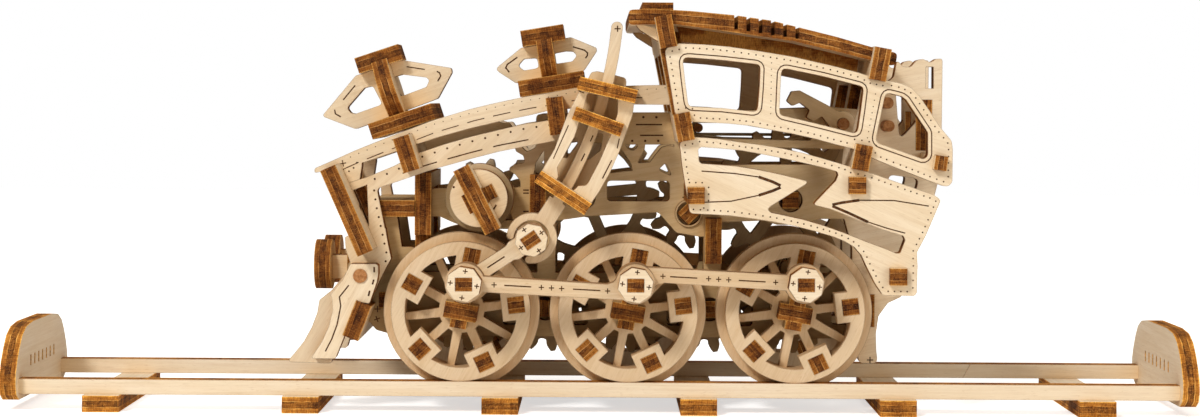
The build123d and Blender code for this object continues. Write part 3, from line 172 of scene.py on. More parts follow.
# "wood" holds, in millimetres, the place along the grain, across it and through the sheet.
# "sheet" holds 0..1 through the sheet, the piece's own random number, and a third value left at zero.
def veneer(name, tone=1.0, hue=(0.98, 1.0, 1.04)):
    m = Net(name)
    w = m.attr("wood")
    s = m.split(m.attr("sheet"))
    seed = m.math("MULTIPLY", s[1], 47.0)
    x, y, z = m.split(w)
    base = m.join(m.math("ADD", x, m.math("MULTIPLY", seed, 3.1)), m.math("ADD", y, m.math("MULTIPLY", seed, 7.7)), seed)
    # long soft figure, fine pores and short flecks, all drawn out along the grain
    figure = m.noise(m.vmul(base, (0.020, 0.16, 1.0)), 1.0, 4.0, 0.55, 0.6)
    lines = m.noise(m.vmul(base, (0.045, 1.35, 1.0)), 1.0, 5.0, 0.62, 0.25)
    pores = m.noise(m.vmul(base, (0.30, 5.2, 1.0)), 1.0, 3.0, 0.6, 0.0)
    fleck = m.noise(m.vmul(base, (0.75, 3.4, 1.0)), 1.0, 2.0, 0.5, 0.0)
    blotch = m.noise(m.vmul(base, (0.055, 0.075, 1.0)), 1.0, 2.0, 0.5, 0.0)
    c = m.ramp(figure, [(0.25, (0.760, 0.580, 0.370)), (0.45, (0.830, 0.665, 0.460)), (0.62, (0.870, 0.720, 0.525)), (0.80, (0.895, 0.760, 0.575))])
    c = m.mix(m.maprange(lines, 0.40, 0.70, 0.0, 0.42), c, (0.640, 0.440, 0.245), "MIX")
    c = m.mix(m.maprange(pores, 0.56, 0.72, 0.0, 0.34), c, (0.480, 0.300, 0.150), "MIX")
    c = m.mix(m.maprange(fleck, 0.63, 0.74, 0.0, 0.40), c, (0.560, 0.365, 0.190), "MIX")
    c = m.mix(m.maprange(blotch, 0.35, 0.70, 0.0, 0.20), c, (0.900, 0.740, 0.520), "MIX")
    c = m.mix(m.maprange(s[1], 0.0, 1.0, 0.0, 0.22), c, (0.690, 0.500, 0.300), "MIX")
    # painted shade: when tone is below 1 the piece is darkened and warmed, and darkened further below about 36 mm
    # height; this shade fades out past x = 60 mm and over the upper front part (above z = 56 mm, x below 0)
    if tone != 1.0:
        here = m.split(m.nt.nodes.new("ShaderNodeTexCoord").outputs["Object"])
        inside = m.maprange(here[0], 0.058, 0.064, 1.0, 0.0, True)
        high = m.math("MULTIPLY", m.maprange(here[2], 0.056, 0.062, 0.0, 1.0, True), m.maprange(here[0], -0.004, 0.002, 1.0, 0.0, True))
        inside = m.math("MULTIPLY", inside, m.math("SUBTRACT", 1.0, high))
        low = m.maprange(here[2], 0.030, 0.042, 0.72, 1.0, True)
        c = m.mix(inside, c, (tone, tone * 0.89, tone * 0.68), "MULTIPLY")
        c = m.mix(inside, c, m.vmul(m.join(low, low, low), (1.0, 1.0, 1.0)), "MULTIPLY")
    c = m.mix(1.0, c, hue, "MULTIPLY")
    # painted shade: warm brown darkening in the recesses, driven by ambient occlusion
    recess_ao = m.nt.nodes.new("ShaderNodeAmbientOcclusion")
    recess_ao.samples = 6
    recess_ao.inputs["Distance"].default_value = 0.014
    recess_shade = m.maprange(recess_ao.outputs["AO"], 0.25, 0.80, 0.90, 0.0)
    c = m.mix(recess_shade, c, (0.97, 0.84, 0.62), "MULTIPLY")
    # scorched line where a face meets its cut edge
    soft = m.nt.nodes.new("ShaderNodeBevel")
    soft.samples = 6
    soft.inputs["Radius"].default_value = 0.00038
    flat = m.nt.nodes.new("ShaderNodeNewGeometry").outputs["True Normal"]
    dot = m.nt.nodes.new("ShaderNodeVectorMath")
    dot.operation = "DOT_PRODUCT"
    m.link(soft.outputs[0], dot.inputs[0])
    m.link(flat, dot.inputs[1])
    edge = m.maprange(dot.outputs["Value"], 0.80, 0.985, 1.0, 0.0)
    c = m.mix(m.math("MULTIPLY", edge, m.maprange(lines, 0.3, 0.6, 0.95, 0.55)), c, (0.120, 0.048, 0.018))
    m.bump(m.math("ADD", m.math("MULTIPLY", lines, 0.6), m.math("MULTIPLY", pores, 0.4)), 0.22, 0.00012)
    return m.finish(c, m.maprange(lines, 0.3, 0.8, 0.52, 0.70), 0.28)


def burnt(name, light=0.0, gain=(1.0, 1.0, 1.0)):
    """Laser-cut edge of three-ply sheet: orange-brown outer plies, a darker core between dark glue lines, pale flecks, and fine marks across the sheet."""
    m = Net(name)
    w = m.attr("wood")
    s = m.split(m.attr("sheet"))
    seed = m.math("MULTIPLY", s[1], 31.0)
    x, y, z = m.split(w)
    xs, ys = m.math("ADD", x, seed), m.math("ADD", y, m.math("MULTIPLY", seed, 2.3))
    # long soft changes, short marks across the sheet, fine grit, and streaks along each ply
    patch = m.noise(m.join(xs, ys, m.math("MULTIPLY", z, 0.10)), 0.16, 2.0, 0.5, 0.5)
    coarse = m.noise(m.join(xs, ys, m.math("MULTIPLY", z, 0.9)), 0.55, 3.0, 0.6, 0.3)
    marks = m.noise(m.join(m.math("MULTIPLY", xs, 4.2), m.math("MULTIPLY", ys, 4.2), m.math("MULTIPLY", z, 0.75)), 1.0, 3.0, 0.65, 0.3)
    fine = m.noise(m.vmul(m.join(xs, ys, z), (6.5, 6.5, 5.0)), 1.0, 3.0, 0.6, 0.0)
    streak = m.noise(m.join(m.math("MULTIPLY", xs, 0.22), m.math("MULTIPLY", ys, 0.22), m.math("MULTIPLY", z, 3.2)), 1.0, 3.0, 0.6, 0.2)
    u = m.math("ADD", s[0], m.math("MULTIPLY", m.math("SUBTRACT", coarse, 0.5), 0.12))
    mid = m.math("ABSOLUTE", m.math("SUBTRACT", u, 0.5))
    tone = m.math("ADD", m.math("MULTIPLY", marks, 0.42), m.math("ADD", m.math("MULTIPLY", streak, 0.42), m.math("MULTIPLY", m.math("SUBTRACT", patch, 0.42), 0.38)))
    outer = m.ramp(tone, [(0.28, (0.045, 0.012, 0.004)), (0.38, (0.130, 0.040, 0.009)), (0.47, (0.230, 0.080, 0.016)), (0.57, (0.350, 0.140, 0.028)), (0.68, (0.560, 0.270, 0.075))])
    inner = m.ramp(tone, [(0.28, (0.014, 0.005, 0.003)), (0.42, (0.048, 0.015, 0.006)), (0.54, (0.110, 0.035, 0.011)), (0.68, (0.260, 0.095, 0.028))])
    core = m.maprange(mid, 0.13, 0.22, 1.0, 0.0, True)
    c = m.mix(m.math("MULTIPLY", core, m.maprange(coarse, 0.36, 0.60, 1.0, 0.35)), outer, inner)
    dark = m.maprange(m.math("ABSOLUTE", m.math("SUBTRACT", mid, 0.155)), 0.012, 0.040, 1.0, 0.0, True)
    c = m.mix(m.math("MULTIPLY", dark, m.maprange(coarse, 0.40, 0.60, 0.75, 0.15)), c, (0.022, 0.007, 0.004))
    glue = m.maprange(m.math("ABSOLUTE", m.math("SUBTRACT", mid, 0.215)), 0.008, 0.028, 1.0, 0.0, True)
    c = m.mix(m.math("MULTIPLY", glue, m.maprange(patch, 0.45, 0.62, 0.0, 0.60)), c, (0.600, 0.340, 0.130))
    rim = m.maprange(mid, 0.430, 0.480, 0.0, 1.0, True)
    c = m.mix(m.math("MULTIPLY", rim, m.maprange(marks, 0.36, 0.60, 0.25, 0.90)), c, (0.580, 0.300, 0.080))
    c = m.mix(m.maprange(fine, 0.58, 0.72, 0.0, 0.45), c, (0.620, 0.330, 0.110))
    c = m.mix(m.maprange(fine, 0.28, 0.40, 0.60, 0.0), c, (0.022, 0.007, 0.004))
    if light > 0:
        c = m.mix(light, c, (0.760, 0.530, 0.300))
    if gain[0] != 1.0:
        c = m.mix(1.0, c, gain, "MULTIPLY")
    m.bump(m.math("ADD", marks, m.math("MULTIPLY", streak, 0.8)), 0.35, 0.00015)
    return m.finish(c, m.maprange(marks, 0.3, 0.7, 0.55, 0.75), 0.06)


def engraved():
    m = Net("engraved_line")
    w = m.nt.nodes.new("ShaderNodeTexCoord").outputs["Object"]
    n = m.noise(m.vmul(w, (1500.0, 1500.0, 1500.0)), 1.0, 3.0, 0.6)
    c = m.ramp(n, [(0.3, (0.030, 0.012, 0.005)), (0.55, (0.090, 0.036, 0.013)), (0.8, (0.200, 0.090, 0.032))])
    return m.finish(c, 0.75, 0.15)


def turned_dowel():
    m = Net("dowel_wood")
    w = m.attr("wood")
    n = m.noise(m.vmul(w, (1.2, 1.2, 0.12)), 1.0, 4.0, 0.6)
    f = m.noise(m.vmul(w, (5.0, 5.0, 0.6)), 1.0, 2.0, 0.6)
    c = m.ramp(n, [(0.3, (0.260, 0.095, 0.026)), (0.5, (0.430, 0.180, 0.058)), (0.72, (0.560, 0.280, 0.110))])
    c = m.mix(m.maprange(f, 0.5, 0.75, 0.0, 0.5), c, (0.110, 0.050, 0.020), "MIX")
    m.bump(f, 0.25, 0.0001)
    return m.finish(c, 0.6, 0.3)


def rubber():
    m = Net("natural_rubber")
    w = m.nt.nodes.new("ShaderNodeTexCoord").outputs["Object"]
    n = m.noise(m.vmul(w, (600.0, 600.0, 600.0)), 1.0, 3.0, 0.5)
    c = m.ramp(n, [(0.3, (0.330, 0.225, 0.105)), (0.7, (0.450, 0.325, 0.170))])
    m.bump(n, 0.2, 0.0001)
    return m.finish(c, 0.5, 0.4)


VENEER = veneer("birch_veneer")
# painted shade: darker, warmer veneer for the inner parts and, deeper still, for the key's back disc
VENEER_INNER_SHADED = veneer("birch_veneer_inner_painted_shade", 0.76)
VENEER_DEEP_SHADE = veneer("birch_veneer_painted_deep_shade", 0.42)
# running gear tinted darker: partly the wood's own tone, partly painted shade
VENEER_GEAR = veneer("birch_veneer_running_gear", 1.0, (0.86, 0.81, 0.76))
# track pieces tinted paler and cooler: painted light
VENEER_TRACK = veneer("birch_veneer_track", 1.0, (1.02, 1.07, 1.17))
BURNT = burnt("scorched_edge", 0.0, (1.14, 1.12, 1.02))
# paler cut edges for the track pieces and cylinders; on the sleepers this is partly painted light from the floor
BURNT_PALE = burnt("scorched_edge_pale", 0.0, (1.95, 2.05, 1.55))
SANDED = burnt("sanded_edge", 0.72)
MID = burnt("toasted_edge", 0.30)
ENGRAVED = engraved()
DOWEL = turned_dowel()
RUBBER = rubber()

LIGHT_EDGE = {f"wheel_{i}_treads" for i in (1, 2, 3)} | {f"wheel_{i}_spoked_discs" for i in (1, 2, 3)}
MID_EDGE = {"piston_rod_near", "piston_rod_far", "link_near", "link_far",
            "coupling_rod_front_near", "coupling_rod_front_far", "coupling_rod_rear_near", "coupling_rod_rear_far"}
RODS = {"coupling_rod_front_near", "coupling_rod_front_far", "coupling_rod_rear_near", "coupling_rod_rear_far"}
TRACK = {"sleepers", "rail_near", "rail_far", "end_stop_front", "end_stop_rear"}
PALE_EDGE = {"sleepers", "end_stop_front", "end_stop_rear", "cylinder_near", "cylinder_far", "rail_near", "rail_far"}
FORCE_Y = {"rail_near", "rail_far"} | LIGHT_EDGE
END_WOOD = {"crank_pins_1", "crank_pins_2", "crank_pins_3", "cab_pegs", "key_pinion", "link_near", "link_far", "winding_key"}
# parts that take the painted-shade veneer (darker and warmer, more so low down)
INNER = {"chassis_side_near", "chassis_side_far", "chassis_crossbars", "drive_gear_rear", "drive_gear_middle", "drive_gear_front",
         "idler_gear_1", "idler_gear_2", "axle_1", "axle_2", "axle_3", "key_pinion", "frame_spacers", "release_lever"}


def solids_of(tris, co):
    """Triangle to solid number. Where two solids meet along one edge, each face is paired with the next face round the edge across wood."""
    _, inv = np.unique(np.round(co * 1e6).astype(np.int64), axis=0, return_inverse=True)
    inv = inv.ravel()
    t = inv[tris]
    pos = np.zeros((inv.max() + 1, 3))
    pos[inv] = co
    parent = list(range(len(t)))

    def find(a):
        while parent[a] != a:
            parent[a] = parent[parent[a]]
            a = parent[a]
        return a

    edges = {}
    for k, (a, b, c) in enumerate(t.tolist()):
        if a == b or b == c or a == c:
            continue
        for u, v, w in ((a, b, c), (b, c, a), (c, a, b)):
            edges.setdefault((u, v) if u < v else (v, u), []).append((k, u < v, w))
    for (u, v), faces in edges.items():
        if len(faces) == 2:
            parent[find(faces[0][0])] = find(faces[1][0])
            continue
        axis = pos[v] - pos[u]
        axis = axis / max(np.linalg.norm(axis), 1e-12)
        ref = None
        turned = []
        for k, fwd, w in sorted(faces, key=lambda f: f[1]):
            d = pos[w] - pos[u]
            d = d - axis * (d @ axis)
            d = d / max(np.linalg.norm(d), 1e-12)
            if ref is None:
                ref = d
            ang = math.atan2(float(np.cross(ref, d) @ axis), float(ref @ d)) % (2 * math.pi)
            if fwd and ang < 1e-3:
                ang = 2 * math.pi
            if not fwd and ang > 2 * math.pi - 1e-3:
                ang = 0.0
            turned.append((round(ang, 3), not fwd, k))
        turned.sort()
        opened = None
        for ang, opens, k in turned:
            if opens:
                opened = k
            elif opened is not None:
                parent[find(k)] = find(opened)
                opened = None
    lab = np.array([find(k) for k in range(len(t))])
    _, lab = np.unique(lab, return_inverse=True)
    return lab.ravel()


def dress(name, obj):
    me = obj.data
    nv, npoly = len(me.vertices), len(me.polygons)
    co = np.empty(nv * 3)
    me.vertices.foreach_get("co", co)
    mw = np.array(obj.matrix_world)
    co = co.reshape(-1, 3) @ mw[:3, :3].T + mw[:3, 3]
    me.calc_loop_triangles()
    polys = [tuple(p.vertices) for p in me.polygons]
    nor = np.empty(npoly * 3)
    me.polygons.foreach_get("normal", nor)
    nor = nor.reshape(-1, 3) @ mw[:3, :3].T
    area = np.empty(npoly)
    me.polygons.foreach_get("area", area)
    tris = np.array([(p[0], p[i], p[i + 1]) for p in polys for i in range(1, len(p) - 1)])
    owner = np.array([n for n, p in enumerate(polys) for i in range(1, len(p) - 1)])
    tlab = solids_of(tris, co)
    plab = np.zeros(npoly, dtype=np.int64)
    plab[owner] = tlab
    lab = np.zeros(nv, dtype=np.int64)
    lab[tris.ravel()] = np.repeat(tlab, 3)
    wood = np.zeros((nv, 3))
    sheet = np.zeros((nv, 3))
    midx = np.zeros(npoly, dtype=np.int32)
    for k in range(lab.max() + 1):
        vs = np.where(lab == k)[0]
        ps = np.where(plab == k)[0]
        pts, n, a = co[vs], nor[ps], area[ps]
        if name == "roof" and np.ptp(pts[:, 0]) > 0.03:
            # bent sheet: every face that doesn't look across the track or out of its ends is veneer
            normal = np.array([0.0, 0.0, 1.0])
            is_face = (np.abs(n[:, 1]) < 0.5) & (np.abs(n[:, 2]) > 0.6)
            grain = np.array([1.0, 0.0, 0.0])
            slope = np.interp(pts[:, 0] * 1000, [6.4, 17.7, 31.5, 45.4, 55.7, 63.9, 70.0], [95.6, 95.5, 94.2, 91.8, 89.5, 87.3, 85.9])
            thick = (pts[:, 2] * 1000 - slope) / 4.0 + 0.5
        else:
            cands = []
            used = np.zeros(len(ps), bool)
            for i in [int(np.argmax(np.abs(n[:, 1]) + a * 0.1))] + list(np.argsort(-a)):
                if used[i]:
                    continue
                d = np.abs(n @ n[i])
                same = d > 0.995
                used |= same
                tot = a[same].sum()
                ext = np.ptp(pts @ n[i])
                cands.append((tot, ext, n[i]))
                if len(cands) > 7:
                    break
            biggest = max(c[0] for c in cands)
            ok = [c for c in cands if c[1] < 0.0045 and c[0] > 0.12 * biggest]
            if name in FORCE_Y:
                normal = np.array([0.0, 1.0, 0.0])
            elif name in END_WOOD and len(ok) > 1:
                # short square pegs and shafts show their end across the track
                normal = max((c for c in ok if abs(c[2][1]) < 0.5), key=lambda c: c[0])[2]
            elif ok:
                normal = max(ok, key=lambda c: c[0])[2]
            else:
                normal = max(cands, key=lambda c: c[0])[2]
            is_face = np.abs(n @ normal) > 0.9
            h = pts @ normal
            thick = (h - h.min()) / max(np.ptp(h), 1e-6)
            flatpts = pts - np.outer(h, normal)
            flatpts = flatpts - flatpts.mean(0)
            u_, s_, vt = np.linalg.svd(flatpts, full_matrices=False)
            grain = vt[0]
            if grain[np.argmax(np.abs(grain))] < 0:
                grain = -grain
        across = np.cross(normal, grain)
        seed = (math.sin((k + 1) * 12.9898 + sum(map(ord, name)) * 0.7233) * 43758.5453) % 1.0
        p = pts * 1000.0
        wood[vs] = np.stack([p @ grain, p @ across, p @ normal], 1)
        sheet[vs] = np.stack([np.clip(thick, 0, 1), np.full(len(vs), seed), np.zeros(len(vs))], 1)
        if name == "dowel_pins":
            wood[vs] = np.stack([p[:, 0], p[:, 2], p[:, 1]], 1)
        midx[ps] = np.where(is_face, 0, 1)
        wide, deep, tall = np.ptp(pts, axis=0)
        if name.startswith("link_") and max(wide, tall) < 0.0075 and deep > 0.005:
            midx[ps] = 2
        # the key's wide back disc: its faces take the third slot, painted deep shade
        if name == "winding_key" and min(wide, tall) > 0.015 and deep < 0.005:
            midx[ps] = np.where(is_face, 2, 1)
    for an, data in (("wood", wood), ("sheet", sheet)):
        at = me.attributes.get(an) or me.attributes.new(an, "FLOAT_VECTOR", "POINT")
        at.data.foreach_set("vector", data.astype(np.float32).ravel())
    me.materials.clear()
    if name == "dowel_pins":
        me.materials.append(DOWEL)
        midx[:] = 0
    elif name == "elastic_loop":
        me.materials.append(RUBBER)
        midx[:] = 0
    else:
        me.materials.append(VENEER_INNER_SHADED if name in INNER else VENEER_GEAR if name in LIGHT_EDGE | RODS
                            else VENEER_TRACK if name in TRACK else VENEER)
        # third slot: painted deep shade for the winding key, the scorched edge for the rest
        spare = VENEER_DEEP_SHADE if name == "winding_key" else BURNT
        me.materials.append(SANDED if name in LIGHT_EDGE else MID if name in MID_EDGE else BURNT_PALE if name in PALE_EDGE else BURNT)
        me.materials.append(spare)
    me.polygons.foreach_set("material_index", midx)
    me.update()


for node_name, node_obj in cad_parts.items():
    dress(node_name, node_obj)

# ------------------------------------------------------------------ engraved lines
# Each entry: distance of the face from the middle plane, kind, sides, points (X, Z), then its sizes, all in millimetres.
MARKS = {
    "locomotive": [
        (19.5, 'dots', 'b', [(-56.56, 55.75), (-49.95, 58.51), (-43.93, 61.71), (-37.52, 63.92), (-31.53, 65.68), (-25.26, 67.24), (-19.01, 68.76), (-13.49, 69.64), (-9.35, 70.25)], 3.2, 0.36),
        (19.5, 'dash', 'b', [(-48.58, 57.68), (-42.99, 59.65), (-39.2, 60.82), (-32.2, 62.82), (-25.15, 64.68), (-18.11, 66.1), (-9.77, 67.71)], 8.8, 2.7, 0.36),
        (19.5, 'dots', 'b', [(-55.39, 54.64), (-54.62, 49.53), (-52.92, 41.98), (-52.01, 37.79), (-52.46, 35.52)], 2.2, 0.36),
        (19.5, 'line', 'b', [(-59.15, 52.42), (-57.13, 41.46), (-56.15, 39.76)], 0.3),
        (19.5, 'dash', 'b', [(-53.56, 54.65), (-50.4, 56.38)], 3.6, 1.4, 0.34),
        (19.5, 'dots', 'b', [(-64.04, 60.31), (-59.38, 62.43), (-54.75, 64.32), (-50.13, 66.2), (-45.46, 67.96), (-40.84, 69.76), (-36.23, 71.16), (-31.6, 72.61), (-26.97, 73.77), (-22.34, 74.81), (-17.72, 75.79), (-13.04, 76.55), (-6.38, 77.88), (1.21, 78.31), (8.89, 78.57), (14.34, 78.73), (16.4, 79.23)], 2.2, 0.26),
        (19.5, 'dash', 'b', [(-63.22, 58.48), (-58.59, 60.6), (-54.0, 62.47), (-49.4, 64.34), (-44.75, 66.09), (-40.19, 67.87), (-35.64, 69.25), (-31.06, 70.68), (-26.5, 71.82), (-21.91, 72.86), (-17.35, 73.82), (-12.68, 74.58), (-6.13, 75.89), (1.3, 76.31), (8.96, 76.57), (14.38, 76.73), (14.69, 78.18)], 4.3, 2.2, 0.28),
        (19.5, 'plus', 'b', [(-62.88, 60.11)], 1.7, 0.34, 10),
        (19.5, 'dots', 'b', [(-62.11, 58.02), (-60.65, 58.39), (-59.2, 60.72)], 1.5, 0.3),
        (14, 'line', 'b', [(8.58, 69.95), (15.07, 69.99)], 0.42),
        (14, 'line', 'b', [(9.59, 67.31), (15.34, 67.35)], 0.42),
        (14, 'dots', 'b', [(8.82, 71.8), (16.06, 71.8)], 3.2, 0.42),
        (14, 'dots', 'b', [(6.11, 65.94), (16.34, 65.96)], 3.2, 0.42),
        (14, 'line', 'b', [(-19.08, 53.65), (-17.68, 53.66)], 0.4),
        (14, 'line', 'b', [(-19.07, 52.91), (-17.67, 52.91)], 0.4),
        (14, 'line', 'b', [(-19.04, 48.41), (-17.65, 48.42)], 0.4),
        (14, 'plus', 'b', [(-54.75, 24.15)], 1.7, 0.36, 0),
        (14, 'plus', 'b', [(-54.86, 21.69)], 1.7, 0.36, 20),
        (14, 'plus', 'b', [(66.59, 12.35)], 1.7, 0.36, 0),
        (23.5, 'line', 'b', [(-60.82, 30.74), (-63.08, 27.87), (-62.75, 25.72), (-63.6, 21.18), (-64.86, 17.71), (-66.41, 14.68)], 0.4),
        (23.5, 'line', 'b', [(-54.7, 35.19), (-54.69, 33.88)], 0.5),
        (23.5, 'line', 'b', [(-54.78, 32.13), (-55.11, 30.95)], 0.5),
        (23.5, 'line', 'b', [(-55.76, 29.44), (-56.06, 28.13)], 0.5),
        (31.5, 'line', 'b', [(-7.76, 69.91), (-11.32, 61.89)], 0.3),
        (31.5, 'line', 'b', [(2.62, 61.62), (0.41, 57.21)], 0.36),
        (31.5, 'line', 'b', [(4.4, 66.78), (3.88, 64.44)], 0.3),
        (31.5, 'line', 'b', [(-5.37, 78.12), (-4.08, 77.6)], 0.3),
        (2, 'line', 'b', [(-48.94, 84.02), (-44.38, 83.35)], 0.34),
        (2, 'line', 'b', [(-41.38, 82.9), (-40.67, 82.53), (-40.38, 81.73), (-41.13, 80.41)], 0.4),
        (2, 'line', 'b', [(-61.87, 79.25), (-64.85, 75.57)], 0.38),
        (2, 'line', 'b', [(-66.99, 73.12), (-66.8, 72.08), (-65.43, 71.3)], 0.4),
        (2, 'line', 'b', [(-7.18, 89.28), (-4.26, 88.45), (-3.51, 87.78), (-3.55, 87.11), (-4.02, 86.43)], 0.42),
        (2, 'line', 'b', [(-21.13, 86.57), (-23.7, 84.71), (-24.02, 83.86), (-23.13, 82.76)], 0.42),
        (37.5, 'dots', 'b', [(40.18, 85.73), (40.02, 71.56)], 1.5, 0.27),
        (37.5, 'dots', 'b', [(64.88, 78.51), (62.82, 66.79)], 1.5, 0.27),
        (37.5, 'line', 'b', [(23.8, 59.34), (31.58, 58.81), (37.32, 58.03)], 0.34),
        (37.5, 'line', 'b', [(37.32, 58.03), (40.6, 56.9), (42.49, 56.01)], 0.8),
        (37.5, 'line', 'b', [(42.5, 55.6), (40.62, 54.77), (37.35, 53.69)], 0.8),
        (37.5, 'line', 'b', [(37.35, 53.69), (30.8, 52.26), (24.25, 51.97)], 0.34),
        (37.5, 'line', 'b', [(54.72, 51.58), (57.02, 52.09), (61.11, 52.69)], 0.75),
        (37.5, 'line', 'b', [(61.11, 52.69), (69.3, 52.66), (77.5, 51.4)], 0.34),
        (37.5, 'line', 'b', [(54.73, 51.26), (58.26, 49.8), (63.19, 47.54)], 0.75),
        (37.5, 'line', 'b', [(63.19, 47.54), (67.7, 46.1), (71.97, 44.98)], 0.34),
    ],
    "key": [
        (24.5, 'line', 'n', [(-25.18, 50.47), (-26.16, 48.87)], 0.5),
        (24.5, 'dots', 'n', [(-26.31, 48.05), (-26.29, 48.02)], 5, 0.4),
        (24.5, 'dots', 'n', [(-35.52, 54.68), (-35.5, 54.66)], 5, 0.4),
    ],
    "front_rod": [
        (35.5, 'plus', 'b', [(-25.1, 32.01)], 1.35, 0.34, 0),
        (35.5, 'plus', 'b', [(-13.9, 31.47)], 1.35, 0.34, 0),
        (35.5, 'plus', 'b', [(-11.5, 31.36)], 1.35, 0.34, 0),
        (35.5, 'plus', 'b', [(-9.1, 31.24)], 1.35, 0.34, 0),
        (35.5, 'plus', 'b', [(1.8, 30.72)], 1.35, 0.34, 0),
        (35.5, 'line', 'b', [(-22.7, 31.9), (-16.3, 31.59)], 0.36),
        (35.5, 'line', 'b', [(-6.4, 31.11), (0.1, 30.8)], 0.36),
    ],
    "rear_rod": [
        (31.5, 'plus', 'b', [(41.9, 32.69)], 1.35, 0.34, 0),
        (31.5, 'plus', 'b', [(30.7, 33.23)], 1.35, 0.34, 0),
        (31.5, 'plus', 'b', [(28.3, 33.34)], 1.35, 0.34, 0),
        (31.5, 'plus', 'b', [(25.9, 33.46)], 1.35, 0.34, 0),
        (31.5, 'plus', 'b', [(15.0, 33.98)], 1.35, 0.34, 0),
        (31.5, 'line', 'b', [(39.5, 32.8), (33.1, 33.11)], 0.36),
        (31.5, 'line', 'b', [(23.2, 33.59), (16.7, 33.9)], 0.36),
    ],
    "link": [
        (31.5, 'line', 'b', [(-26.92, 35.75), (-22.82, 38.45)], 0.4),
        (35.5, 'plus', 'b', [(-13.95, 44.41)], 1.3, 0.36, 37),
        (35.5, 'plus', 'b', [(-18.03, 45.09)], 1.3, 0.36, 124),
        (35.5, 'plus', 'b', [(-18.78, 40.84)], 1.3, 0.36, -144),
        (35.5, 'plus', 'b', [(-14.54, 40.2)], 1.3, 0.36, -53),
    ],
    "wheelset_1": [
        (39.5, 'plus', 'b', [(-28.97, 31.97)], 1.25, 0.34, -7),
        (39.5, 'plus', 'b', [(-31.72, 35.48)], 1.25, 0.34, 83),
        (39.5, 'plus', 'b', [(-35.23, 32.73)], 1.25, 0.34, 173),
        (39.5, 'plus', 'b', [(-32.48, 29.22)], 1.25, 0.34, 263),
    ],
    "wheelset_2": [
        (39.5, 'plus', 'b', [(11.53, 31.97)], 1.25, 0.34, -7),
        (39.5, 'plus', 'b', [(8.78, 35.48)], 1.25, 0.34, 83),
        (39.5, 'plus', 'b', [(5.27, 32.73)], 1.25, 0.34, 173),
        (39.5, 'plus', 'b', [(8.02, 29.22)], 1.25, 0.34, 263),
    ],
    "wheelset_3": [
        (35.5, 'plus', 'b', [(52.03, 31.97)], 1.25, 0.34, -7),
        (35.5, 'plus', 'b', [(49.28, 35.48)], 1.25, 0.34, 83),
        (35.5, 'plus', 'b', [(45.77, 32.73)], 1.25, 0.34, 173),
        (35.5, 'plus', 'b', [(48.52, 29.22)], 1.25, 0.34, 263),
    ],
    "piston": [
        (27.3, 'plus', 'b', [(3.84, 93.12)], 1.6, 0.4, 0),
        (27.3, 'line', 'b', [(-3.85, 63.05), (-4.72, 61.25)], 0.36),
        (27.3, 'line', 'b', [(-1.9, 67.43), (-2.54, 65.98)], 0.32),
    ],
}


def walk(pts, step, start=0.0):
    """Points each step along a polyline."""
    out, left = [], start
    for (x0, z0), (x1, z1) in zip(pts, pts[1:]):
        run = math.hypot(x1 - x0, z1 - z0)
        while left <= run:
            t = left / run if run else 0.0
            out.append((x0 + (x1 - x0) * t, z0 + (z1 - z0) * t))
            left += step
        left -= run
    return out


def part_of(pts, a, b):
    """The stretch of a polyline between two lengths."""
    out, gone = [], 0.0
    for (x0, z0), (x1, z1) in zip(pts, pts[1:]):
        run = math.hypot(x1 - x0, z1 - z0)
        for want in (a, b):
            if gone <= want < gone + run and (want == a or out):
                t = (want - gone) / run
                out.append((x0 + (x1 - x0) * t, z0 + (z1 - z0) * t))
        if a < gone + run < b:
            out.append((x1, z1))
        gone += run
    return out


